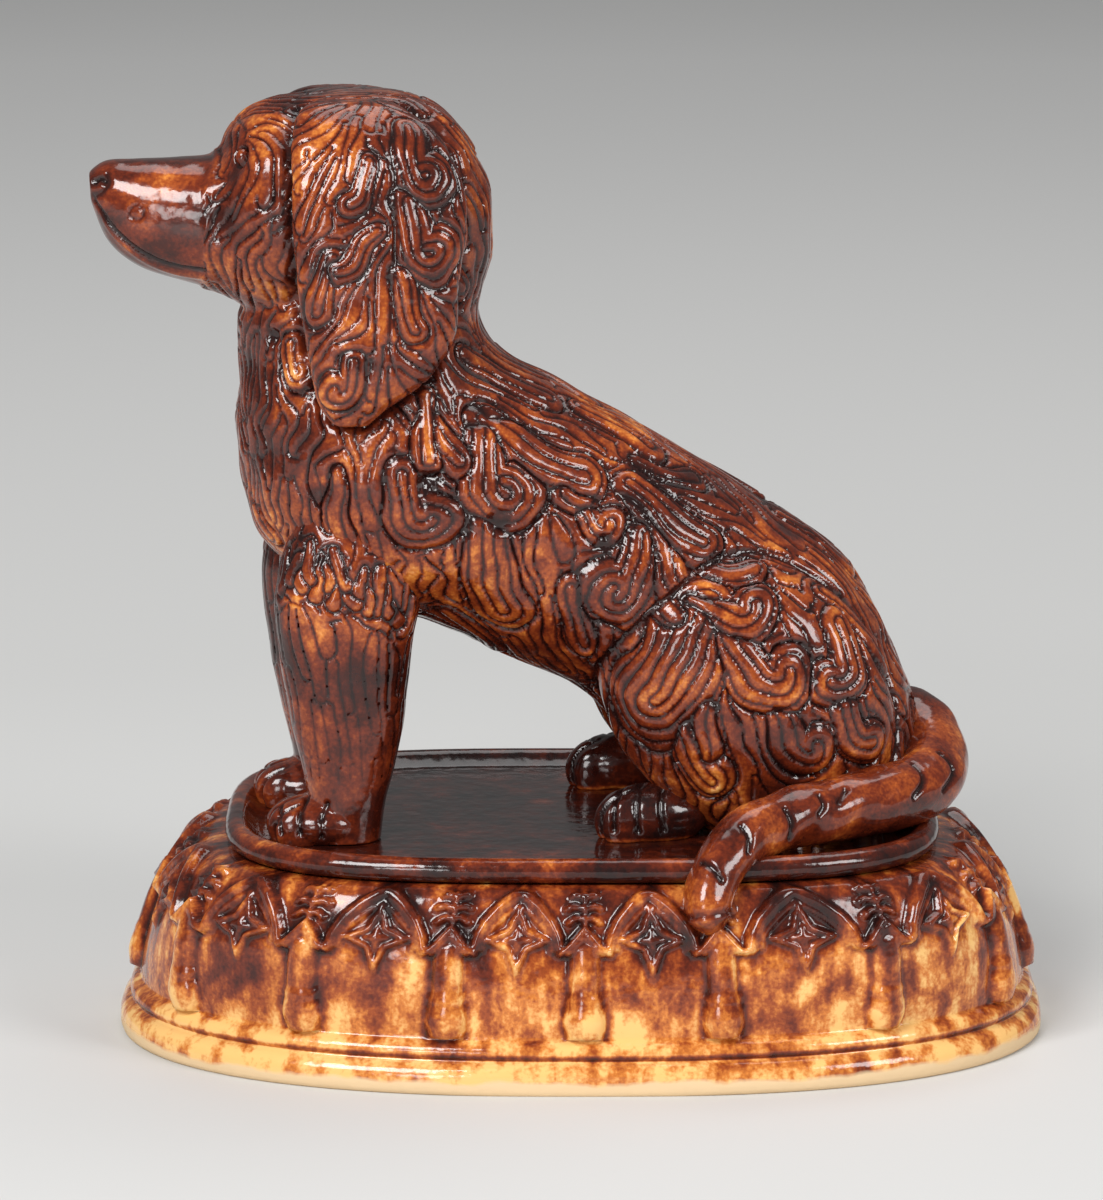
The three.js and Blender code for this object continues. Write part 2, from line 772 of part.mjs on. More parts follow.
function tailSkin(gap) {
  const route = new THREE.CatmullRomCurve3(
    tailPath.map(
      ([x, y, z]) => new THREE.Vector3((x * slabLength) / 2, (y * slabWidth) / 2, floorHeight + z),
    ),
  );
  const girth = new THREE.CatmullRomCurve3(tailPath.map((s) => new THREE.Vector3(s[3], 0, 0)));
  const steps = 17;
  const rings = Array.from({ length: steps + 1 }, (_, i) => {
    const t = i / steps;
    const middle = route.getPoint(t);
    const along = route.getTangent(t);
    const sideways = new THREE.Vector3(0, 0, 1).cross(along).normalize();
    const up = along.clone().cross(sideways);
    const rounding = Math.min(1, Math.sqrt((steps - i) * 0.45 + 0.12));
    const radius = (girth.getPoint(t).x + gap) * rounding;
    return Array.from({ length: tailSides }, (_, k) => {
      const turn = (2 * Math.PI * k) / tailSides;
      return middle
        .clone()
        .addScaledVector(sideways, radius * Math.cos(turn))
        .addScaledVector(up, radius * Math.sin(turn));
    });
  });
  return solid(skin(rings));
}

const placed = (body) => {
  const made = body.getMesh();
  const geometry = new THREE.BufferGeometry();
  geometry.setAttribute("position", new THREE.BufferAttribute(made.vertProperties, 3));
  geometry.setIndex(new THREE.BufferAttribute(made.triVerts, 1));
  return solid(geometry.applyMatrix4(placeDog));
};

const clearOfBody = bodySolid(-luteGap);
const { outer: wallOutside, hollow: wallHollow } = plinthShell();
const reliefClearOfTail = arcadeRelief().subtract(tailSkin(luteGap));
const plinth = wallOutside
  .add(reliefClearOfTail)
  .subtract(wallHollow)
  .subtract(solid(block([-far, -far, crownHeight], [far, far, far])));

const tail = tailSkin(0)
  .subtract(placed(clearOfBody))
  .subtract(solid(skin(slabRings(luteGap))))
  .subtract(plinthAround(luteGap));

const dog = new THREE.Group();
dog.applyMatrix4(placeDog);
dog.add(piece("seam_coil", seamCoil(), bareClay));
for (const [hand, side] of [["left", -1], ["right", 1]]) {
  const ear = levelLoft(earStations, 10, earSides, earSquareness, side);
  const leg = levelLoft(forelegStations, 7, limbSides, forelegSquareness, side)
    .add(paw(forepaw, side))
    .subtract(belowSeat);
  const foot = paw(hindPaw, side).subtract(belowSeat);
  dog.add(piece("body_half_" + hand, bodyHalf(side), brown));
  dog.add(piece("ear_" + hand, ear.subtract(clearOfBody), brown));
  dog.add(piece("foreleg_" + hand, leg.subtract(clearOfBody), brown));
  dog.add(piece("hind_paw_" + hand, foot.subtract(clearOfBody), darkBrown));
}

const figure = new THREE.Group();
figure.add(piece("plinth", plinth, mottled));
figure.add(piece("platform_slab", slab(), darkBrown));
figure.add(dog);
figure.add(piece("tail", tail, brown));

// The nose overhangs the plinth, so the figure is shifted to stand with its middle on the origin
figure.updateMatrixWorld(true);
const middle = new THREE.Box3().setFromObject(figure, true).getCenter(new THREE.Vector3());
figure.position.set(-middle.x, -middle.y, 0);

export default figure;
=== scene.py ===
import math
import random

import bpy
import numpy as np
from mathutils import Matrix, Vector
from mathutils.bvhtree import BVHTree
from mathutils.kdtree import KDTree


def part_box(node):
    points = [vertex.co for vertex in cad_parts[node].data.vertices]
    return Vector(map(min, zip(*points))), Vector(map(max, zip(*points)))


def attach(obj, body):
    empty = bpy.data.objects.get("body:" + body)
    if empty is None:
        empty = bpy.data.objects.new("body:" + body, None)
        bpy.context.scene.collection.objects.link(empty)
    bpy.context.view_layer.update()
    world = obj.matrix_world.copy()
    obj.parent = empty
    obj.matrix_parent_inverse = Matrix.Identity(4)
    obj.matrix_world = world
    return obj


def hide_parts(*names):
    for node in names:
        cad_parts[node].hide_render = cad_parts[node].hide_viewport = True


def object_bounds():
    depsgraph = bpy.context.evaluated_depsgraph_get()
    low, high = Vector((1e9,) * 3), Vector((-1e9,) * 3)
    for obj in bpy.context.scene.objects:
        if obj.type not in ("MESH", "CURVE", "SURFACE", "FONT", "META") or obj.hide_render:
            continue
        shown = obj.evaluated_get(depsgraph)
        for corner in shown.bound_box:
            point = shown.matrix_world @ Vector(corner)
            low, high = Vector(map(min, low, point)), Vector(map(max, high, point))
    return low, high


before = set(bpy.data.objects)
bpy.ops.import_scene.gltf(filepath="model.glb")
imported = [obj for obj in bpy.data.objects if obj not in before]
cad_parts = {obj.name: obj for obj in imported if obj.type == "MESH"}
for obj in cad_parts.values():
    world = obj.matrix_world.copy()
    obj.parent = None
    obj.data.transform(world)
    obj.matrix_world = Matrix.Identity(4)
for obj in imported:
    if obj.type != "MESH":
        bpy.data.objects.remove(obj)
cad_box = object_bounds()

# Forms are worked out in millimetres and become meshes in metres.
MM = 0.001

# The plinth's middle line, the dog's turn on the slab and the height of the slab's floor
plinth_low, plinth_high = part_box("plinth")
PLINTH_X = (plinth_low[0] + plinth_high[0]) / 2 / MM
DOG_TURN = math.radians(7)
DOG_Y = 6.0
FLOOR_Z = 59.1

# Plinth and slab, as in the solids
FOOT_HALF = (133.0, 88.0)
FOOT_SQUARE = 2.4
FOOT_HIGH = 9.2
FOOT_ROLL = 3.4
BEAD_HIGH = 5.6
BEAD_STEP = 2.8
BEAD_TOP = FOOT_HIGH + BEAD_HIGH
WALL_HIGH = 41.2
WALL_SLOPE = (25.8, 11.8)
CROWN_SQUARE = 3.2
WALL_BULGE = 1.6
CROWN_Z = BEAD_TOP + WALL_HIGH
SLAB_HALF = (102.0, 72.0)
SLAB_SQUARE = 3.3
RIM_RADIUS = 3.5
SEAT_GAP = 0.3
RIM_Z = CROWN_Z + SEAT_GAP + RIM_RADIUS
WALL_THICK = 7.0
# How far in from the crown the slab's plug lies
SLAB_MOUTH = 7.6
# Widths of the bays along one long side, and the height where their arches spring
BAYS = (50, 41, 42, 38, 38, 48, 45, 39)
SPRING = 26.0
# Foot band and bead, from the bottom: height and how far in
FOOT_OUTLINE = (
    (0.0, 1.2), (0.5, 0.5), (1.6, 0.1), (3.0, 0.0), (5.2, 0.15), (6.8, 0.7), (8.0, 1.7), (8.8, 2.8),
    (9.2, 3.6), (9.6, 3.5), (10.4, 3.0), (11.4, 2.9), (12.6, 3.3), (13.6, 4.2), (14.3, 5.4),
)
# The groove over the foot band lies in these rings of the outline
FOOT_GROOVE_RINGS = [9, 10]

# Trunk from rump to throat: back x, back z, belly x, belly z, half width
TRUNK = (
    (94, -8, 28, -8, 40), (98, 13.9, 22, 9.9, 43), (96.5, 30.9, 13, 20.9, 44),
    (89.5, 48.4, 5, 31.9, 44), (75.5, 73.4, -5, 39.9, 43), (49.5, 92.6, -23, 47.9, 42),
    (19.6, 111.1, -46, 58.9, 42), (-8, 126.4, -72, 66.9, 42.5), (-25.3, 137.4, -92.5, 84.9, 40),
    (-30, 148.9, -98.4, 113.9, 35), (-27, 161.9, -97.3, 134, 31), (-27, 173.9, -98.6, 147.5, 29),
)
# Head from nape to nose: crown x, crown z, jaw x, jaw z, half width
HEAD = (
    (-26.5, 177.9, -26.5, 161.9, 9), (-29, 188.9, -30, 153.9, 18),
    (-40, 203.9, -42, 146.9, 27), (-62, 211.3, -62, 143.9, 32.5),
    (-80, 209.1, -80, 145.9, 32.5), (-93, 205.5, -93, 148.9, 29),
    (-99.5, 199.9, -99.5, 151.1, 24.5), (-103.5, 193.5, -103.5, 153.3, 20.5),
    (-114, 192.1, -114, 156.5, 17.5), (-126, 191.8, -126, 160.7, 14),
    (-135, 191.3, -134.5, 167.9, 10), (-140.2, 187.9, -139.6, 179.9, 4.5),
)
TRUNK_SQUARE = 2.15
HEAD_SQUARE = 2.3
BODY_WALL = 7.5
# The body is cut off this far over the slab's floor; FAR is past everything
BODY_FOOT = 0.1
FAR = 300
THIGH_CENTRE = (43.5, 29, 39.5)
THIGH_RADII = (47, 22, 37.5)
THIGH_LEAN = math.radians(45)
# Shares of the thigh's egg: its own coat ends, the crease round it, the trunk's coat begins
THIGH_INSIDE = 1.025
THIGH_CREASE = 1.03
THIGH_OUTSIDE = 1.04
# Ear: height, front x, rear x, inner y, outer y
EAR = (
    (209.4, -76, -59, 9, 21), (205.9, -82, -51, 16, 28), (198.9, -84.6, -43, 23, 35.5),
    (187.9, -84.8, -38, 28, 40), (173.9, -84.8, -37, 30, 42.5), (158.9, -83.8, -39.5, 30, 44),
    (145.9, -82, -40.5, 30, 45), (135.9, -80.3, -46, 31, 45.5), (127.4, -78.4, -57, 33, 44.5),
    (121.4, -74.5, -65, 36, 42),
)
EAR_SQUARE = 2.7
# Foreleg: height, front x, rear x, inner y, outer y
FORELEG = (
    (99.9, -80, -56, 16, 30), (85.9, -86.5, -49, 10, 37), (71.9, -90, -48, 8, 39),
    (58.9, -89.6, -50.8, 9, 38.5), (46.9, -88, -52.2, 10.5, 37), (33, -85.6, -53.8, 11.5, 36),
    (21, -82.8, -56.4, 12.5, 35.5), (12, -81.2, -59, 13, 35.5), (0.4, -82, -60.5, 13, 35.5),
)
FORELEG_SQUARE = 2.2
# Paws: x, y, half length, half width, height, toes
FOREPAW = (-77, 23.5, 15.5, 13.5, 13, 4)
HIND_PAW = (16, 33, 16, 9.5, 15.5, 3)
TOE_SPREAD = 0.82
# Legs and paws end this far over the slab's floor
LOWEST = 0.05
# Where the tail starts inside the body, in the same numbers as the tail
TAIL_ROOT = (60, 26, 22, 8.0)
# The higher, the later the tail starts to round off at its end
TAIL_BLUNTNESS = 22
# Tail: x and y on the slab, height above its floor, radius
TAIL = (
    (78, 21, 21.9, 9), (95, 15, 24.9, 9.4), (101, -3, 17.9, 9.6), (97, -19, 13.9, 9.6),
    (85.5, -31, 12.5, 9.5), (71, -41.5, 11.7, 9), (57, -51.5, 11.1, 8.4),
    (45.5, -61.5, 8.5, 8), (38, -70, 1.9, 7.4), (34.6, -75.6, -6.1, 6.8),
    (35.6, -78, -15.6, 6.4),
)

# The camera: 1.8 m from the figure's middle, looking down a little, as the photo does
AIM = np.array([PLINTH_X - 8.7, 0.0, 122.4])
CAMERA_AWAY = 1800.0
CAMERA_PITCH = math.radians(11.5)
CAMERA_PLACE = AIM + CAMERA_AWAY * np.array([0, -math.cos(CAMERA_PITCH), math.sin(CAMERA_PITCH)])
LENS = 189.0
SENSOR = 36.0
PHOTO = (1103, 1200)


def set_camera():
    """The camera, set to see what the photo sees."""
    data = bpy.data.cameras.new("camera")
    data.lens = LENS
    data.sensor_fit = "VERTICAL"
    data.sensor_height = SENSOR
    data.clip_end = 20
    camera = bpy.data.objects.new("camera", data)
    camera.location = CAMERA_PLACE * MM
    camera.rotation_euler = (math.pi / 2 - CAMERA_PITCH, 0, 0)
    bpy.context.collection.objects.link(camera)
    bpy.context.scene.camera = camera


def photo_ray(u, v):
    """The direction from the camera through a point of the frame, given in the photo's pixels."""
    focal = LENS / SENSOR * PHOTO[1]
    ahead = np.array([0, math.cos(CAMERA_PITCH), -math.sin(CAMERA_PITCH)])
    above = np.array([0, math.sin(CAMERA_PITCH), math.cos(CAMERA_PITCH)])
    right = np.array([1.0, 0, 0])
    way = ahead + right * (u - PHOTO[0] / 2) / focal - above * (v - PHOTO[1] / 2) / focal
    return way / np.linalg.norm(way)


# Curves, sections and plain number work

def through(points, shares):
    """A smooth curve through points, at shares of its length counted in points."""
    points = np.asarray(points, float)
    if points.ndim == 1:
        points = points[:, None]
    ends = np.vstack([2 * points[0] - points[1], points, 2 * points[-1] - points[-2]])
    place = np.clip(np.asarray(shares, float), 0, 1) * (len(points) - 1)
    step = np.minimum(place.astype(int), len(points) - 2)
    part = (place - step)[:, None]
    a, b, c, d = (ends[step + k] for k in range(4))
    gap = [np.maximum(np.linalg.norm(q - p, axis=1, keepdims=True), 1e-6) ** 0.5
           for p, q in ((a, b), (b, c), (c, d))]
    first = ((b - a) / gap[0] - (c - a) / (gap[0] + gap[1]) + (c - b) / gap[1]) * gap[1]
    last = ((c - b) / gap[1] - (d - b) / (gap[1] + gap[2]) + (d - c) / gap[2]) * gap[1]
    square, cube = part ** 2, part ** 3
    return (b + first * part + (3 * (c - b) - 2 * first - last) * square
            + (2 * (b - c) + first + last) * cube)


def squared(value, squareness):
    """A sine or cosine bent so that its circle becomes a rounded square."""
    return np.sign(value) * np.abs(value) ** (2 / squareness)


def smooth_step(value, low, high):
    """0 below low and 1 above high, with an eased rise between."""
    t = np.clip((value - low) / (high - low), 0, 1)
    return t * t * (3 - 2 * t)


def waves(points, scale, seed, count=7):
    """Soft random noise from a few crossing waves, about -1 to 1; a wave is about scale mm long."""
    rng = np.random.default_rng(seed)
    total = np.zeros(len(points))
    for _ in range(count):
        way = rng.normal(size=3)
        way *= 2 * math.pi / scale / np.linalg.norm(way) * rng.uniform(0.7, 1.4)
        total += np.sin(points @ way + rng.uniform(0, 2 * math.pi))
    return total / math.sqrt(count)


def unit(vectors):
    return vectors / np.maximum(np.linalg.norm(vectors, axis=1, keepdims=True), 1e-9)


def fading(away, width):
    """1 where away is 0, a third at the width, and soon nothing."""
    return np.exp(-(away / width) ** 2)


def away_from(points, place):
    return np.linalg.norm(points - place, axis=1)


def full_turn(count):
    return np.linspace(0, 2 * math.pi, count, endpoint=False)


def ring_faces(rings, sides):
    """Quads between rings of equally many points, and a fan over each end round an added point."""
    ring, side = np.meshgrid(np.arange(rings - 1), np.arange(sides), indexing="ij")
    low = (ring * sides + side).ravel()
    beside = (ring * sides + (side + 1) % sides).ravel()
    quads = np.stack([low, beside, beside + sides, low + sides], 1).tolist()
    side = np.arange(sides)
    first = [(rings * sides, int((k + 1) % sides), int(k)) for k in side]
    start = (rings - 1) * sides
    last = [(rings * sides + 1, int(start + k), int(start + (k + 1) % sides)) for k in side]
    return quads + first + last


def shell(rings):
    """A closed skin through rings, as points and faces."""
    rings = np.asarray(rings)
    count, sides, _ = rings.shape
    points = np.vstack([rings.reshape(-1, 3), rings[0].mean(0), rings[-1].mean(0)])
    return points, ring_faces(count, sides)


def ring_stack(middle, first, second, squareness, sides):
    """A skin of rings, each round its middle and reaching out along its first and second way."""
    turn = full_turn(sides)
    along, across = (squared(one, squareness)[:, None] for one in (np.cos(turn), np.sin(turn)))
    return shell(middle[:, None] + first[:, None] * along + second[:, None] * across)


def body_loft(stations, squareness, rings, sides, inset=0.0):
    """A skin through upright sections whose back and belly lines are given, thinner by an inset."""
    stations = np.asarray(stations, float)
    shares = np.linspace(0, 1, rings)
    back_x, back_z = through(stations[:, 0:2], shares).T
    belly_x, belly_z = through(stations[:, 2:4], shares).T
    width = through(stations[:, 4], shares)[:, 0]
    none = np.zeros(rings)
    half = np.stack([back_x - belly_x, none, back_z - belly_z], 1) / 2
    length = np.linalg.norm(half, axis=1, keepdims=True)
    half *= (length - inset) / length
    middle = np.stack([back_x + belly_x, none, back_z + belly_z], 1) / 2
    return ring_stack(middle, half, np.stack([none, width - inset, none], 1), squareness, sides)


def level_loft(stations, squareness, rings, sides, side):
    """A skin through level sections whose front, rear, inner and outer reach are given."""
    stations = np.asarray(stations, float)
    shares = np.linspace(0, 1, rings)
    front, rear, height = through(stations[:, [1, 2, 0]], shares).T
    inner, outer, _ = through(stations[:, [3, 4, 0]], shares).T
    none = np.zeros(rings)
    middle = np.stack([front * 0.5 + rear * 0.5, side * (inner + outer) / 2, height], 1)
    return ring_stack(middle, np.stack([(rear - front) / 2, none, none], 1),
                      np.stack([none, side * (outer - inner) / 2, none], 1), squareness, sides)


def egg(centre, radii, lean=0.0, around=40, rows=24):
    """A scaled ball, leaning in the plane of X and Z."""
    lat = np.linspace(-math.pi / 2, math.pi / 2, rows + 2)[1:-1]
    turn = full_turn(around)
    rings = np.empty((rows, around, 3))
    rings[:, :, 0] = np.cos(lat)[:, None] * np.cos(turn)
    rings[:, :, 1] = np.cos(lat)[:, None] * np.sin(turn)
    rings[:, :, 2] = np.sin(lat)[:, None]
    rings *= np.array(radii)
    c, s = math.cos(lean), math.sin(lean)
    x, z = rings[:, :, 0].copy(), rings[:, :, 2].copy()
    rings[:, :, 0] = c * x + s * z
    rings[:, :, 2] = -s * x + c * z
    return shell(rings + np.array(centre))


# Meshes to and from numbers

def raw_mesh(name, points, faces):
    """A mesh in metres from points in mm and faces."""
    mesh = bpy.data.meshes.new(name)
    mesh.from_pydata((np.asarray(points) * MM).tolist(), [], faces)
    mesh.update()
    return mesh


def linked(name, mesh):
    """A new object of a mesh, in the scene."""
    thing = bpy.data.objects.new(name, mesh)
    bpy.context.collection.objects.link(thing)
    return thing


def settled(thing):
    """The object's mesh with its modifiers in it, and the object taken away."""
    graph = bpy.context.evaluated_depsgraph_get()
    mesh = bpy.data.meshes.new_from_object(thing.evaluated_get(graph))
    bpy.data.objects.remove(thing)
    return mesh


SMOOTH_IN, SMOOTH_OUT = 0.5, -0.53


def numbers_of(things, key, width, kind=float):
    """One value of each vertex, edge or corner as rows of numbers."""
    flat = np.empty(len(things) * width, kind)
    things.foreach_get(key, flat)
    return flat.reshape(-1, width)


def tree_of(points):
    """Points sorted so that the nearest to a place is found at once."""
    tree = KDTree(len(points))
    for number, place in enumerate(points.tolist()):
        tree.insert(place, number)
    tree.balance()
    return tree


class Clay:
    """A closed form of fired clay as arrays: points in mm, triangles, edges and outward normals."""

    def __init__(self, mesh):
        self.at = numbers_of(mesh.vertices, "co", 3) / MM
        mesh.calc_loop_triangles()
        self.tris = numbers_of(mesh.loop_triangles, "vertices", 3, np.int32)
        self.edges = numbers_of(mesh.edges, "vertices", 2, np.int32)
        corners = numbers_of(mesh.loops, "vertex_index", 1, np.int32)
        self.quads = corners.reshape(-1, 4) if len(corners) == 4 * len(mesh.polygons) else None
        self.degree = np.bincount(self.edges.ravel(), minlength=len(self.at)).astype(float)
        self.find_normals()

    def find_normals(self):
        """The outward way at each point, and the skin's area."""
        a, b, c = (self.at[self.tris[:, k]] for k in range(3))
        face = np.cross(b - a, c - a)
        total = np.zeros_like(self.at)
        for k in range(3):
            for axis in range(3):
                total[:, axis] += np.bincount(self.tris[:, k], face[:, axis], len(self.at))
        self.normal = total / np.maximum(np.linalg.norm(total, axis=1, keepdims=True), 1e-12)
        self.area = float(np.linalg.norm(face, axis=1).sum() / 2)

    def around(self, values):
        """The mean of each point's neighbours."""
        values = values if values.ndim == 2 else values[:, None]
        total = np.empty_like(values)
        one, other = self.edges[:, 0], self.edges[:, 1]
        for k in range(values.shape[1]):
            column = values[:, k]
            total[:, k] = (np.bincount(one, column[other], len(values))
                           + np.bincount(other, column[one], len(values)))
        return total / self.degree[:, None]

    def soften(self, rounds):
        """Softens with every other round outwards, which keeps the form's size."""
        for k in range(rounds):
            self.at += (SMOOTH_IN if k % 2 == 0 else SMOOTH_OUT) * (self.around(self.at) - self.at)
        self.find_normals()

    def melt(self, share, rounds):
        """Softens by each point's own share, and fills hollow corners as slip does."""
        for _ in range(rounds):
            self.at += (0.6 * share)[:, None] * (self.around(self.at) - self.at)
        self.find_normals()

    def fold_along(self, groove):
        """Splits each quad on the diagonal that follows a groove."""
        if self.quads is None:
            return
        a, b, c, d = self.quads.T
        first = groove[a] + groove[c] >= groove[b] + groove[d]
        one = np.where(first[:, None], np.stack([a, b, c], 1), np.stack([a, b, d], 1))
        other = np.where(first[:, None], np.stack([a, c, d], 1), np.stack([b, c, d], 1))
        self.tris = np.concatenate([one, other])

    def blurred(self, values, rounds):
        """A value at each point, evened out with its neighbours."""
        for _ in range(rounds):
            values = values + 0.6 * (self.around(values)[:, 0] - values)
        return values


def clay_form(name, shells, voxel, soften):
    """Overlapping shells fused to one even skin, with the joins softened as by a wet finger."""
    points, faces = [], []
    for some_points, some_faces in shells:
        start = sum(len(p) for p in points)
        points.append(some_points)
        faces += [[start + k for k in face] for face in some_faces]
    thing = linked(name, raw_mesh(name, np.vstack(points), faces))
    fuse = thing.modifiers.new("fuse", "REMESH")
    fuse.mode = "VOXEL"
    fuse.voxel_size = voxel * MM
    form = Clay(settled(thing))
    form.soften(soften)
    return form


def dog_to_row(points):
    """Points from the dog's frame, where it faces straight along, to the row's frame."""
    c, s = math.cos(DOG_TURN), math.sin(DOG_TURN)
    x, y, z = points[:, 0], points[:, 1], points[:, 2]
    return np.stack([c * x - s * y + PLINTH_X, s * x + c * y + DOG_Y, z + FLOOR_Z], 1)


def row_to_dog(points):
    """Points from the row's frame back to the dog's."""
    c, s = math.cos(DOG_TURN), math.sin(DOG_TURN)
    x, y, z = points[:, 0] - PLINTH_X, points[:, 1] - DOG_Y, points[:, 2] - FLOOR_Z
    return np.stack([c * x + s * y, -s * x + c * y, z], 1)


CAD_LOW, CAD_HIGH = (np.array(corner) / MM for corner in cad_box)


def in_box(points, soft=2.5):
    """Points eased inside the solids' box where they come near its sides."""
    for axis in range(3):
        for sign, limit in ((1, CAD_HIGH[axis]), (-1, -CAD_LOW[axis])):
            over = sign * points[:, axis] - (limit - soft)
            eased = soft * (1 - np.exp(-np.maximum(over, 0) / soft))
            if sign > 0 or axis < 2:
                points[:, axis] = np.where(over > 0, sign * (limit - soft + eased), points[:, axis])
    return points


# The coat: locks of curled hair, each a row of strands nested round its own bent middle line

# How high loose hair lies, in the number that says which lock lies on top, and how much that
# number rises from a lock's root to its tip
LOOSE = -0.45
LOCK_RISE = 0.95
# How much a lock's hook tightens towards its tip
HOOK_TIGHTER = 1.25
# Furrows: how far apart their points are and the size of the cubes these are kept in, in mm, and
# how many places are tried as starts
COMB_STEP = 1.1
COMB_CELL = 4.0
COMB_STARTS = 5000
# The most points that a furrow has each way
LONGEST = 70
# A furrow turns in at its foot on a radius of this share of the spacing, this far round
TONGUE = 0.62
TONGUE_TURN = 2.4
# How far from a groove a strand is at full height, the groove's half width, and its depths
SHOULDER = 1.15
GROOVE_HALF = 0.36
EDGE_DEPTH = 1.05
STRAND_DEPTH = 0.6
# Steps to a cube and to those that touch it
ROUND_ABOUT = [(x, y, z) for x in (-1, 0, 1) for y in (-1, 0, 1) for z in (-1, 0, 1)]


class Cells:
    """Points sorted into cubes, so that those near a place are found at once."""

    def __init__(self, at, size=7.0):
        self.size = size
        self.low = at.min(0)
        self.count = ((at.max(0) - self.low) // size).astype(int) + 1
        cell = self.number(*((at - self.low) // size).astype(int).T)
        self.order = np.argsort(cell, kind="stable")
        self.start = np.searchsorted(cell[self.order], np.arange(self.count.prod() + 1))

    def number(self, x, y, z):
        return (z * self.count[1] + y) * self.count[0] + x

    def near(self, place, reach):
        """The points in the cubes that a place's surroundings touch."""
        low = np.maximum((place - reach - self.low) // self.size, 0).astype(int)
        high = np.minimum((place + reach - self.low) // self.size, self.count - 1).astype(int)
        rows = []
        for z in range(low[2], high[2] + 1):
            for y in range(low[1], high[1] + 1):
                first, last = self.number(low[0], y, z), self.number(high[0], y, z)
                rows.append(self.order[self.start[first]:self.start[last + 1]])
        return np.concatenate(rows)


def lock_line(length, bend, hook, wave=0.0, steps=16):
    """A lock's middle line laid flat: it sets out along the first axis, bends and waves, and hooks
    round at its tip. Its origin is the middle of its last third."""
    share = (np.arange(steps) + 0.5) / steps
    heading = bend * share + wave * np.sin(2 * math.pi * share)
    heading += hook * np.clip(2 * share - 1, 0, 1) ** HOOK_TIGHTER
    step = length / steps
    line = np.vstack([[0, 0], np.cumsum(np.stack([np.cos(heading), np.sin(heading)], 1) * step, 0)])
    return line - line[-steps // 3:].mean(0)


def to_line(flat, line):
    """Each point's distance from a line, and how far along it the nearest place lies (0 to 1)."""
    way = np.diff(line, axis=0)
    off = flat[:, None, :] - line[None, :-1, :]
    part = np.clip((off * way).sum(2) / np.maximum((way * way).sum(1), 1e-9), 0, 1)
    away = np.linalg.norm(off - part[:, :, None] * way, axis=2)
    best = away.argmin(1)
    rows = np.arange(len(flat))
    return away[rows, best], (best + part[rows, best]) / len(way)


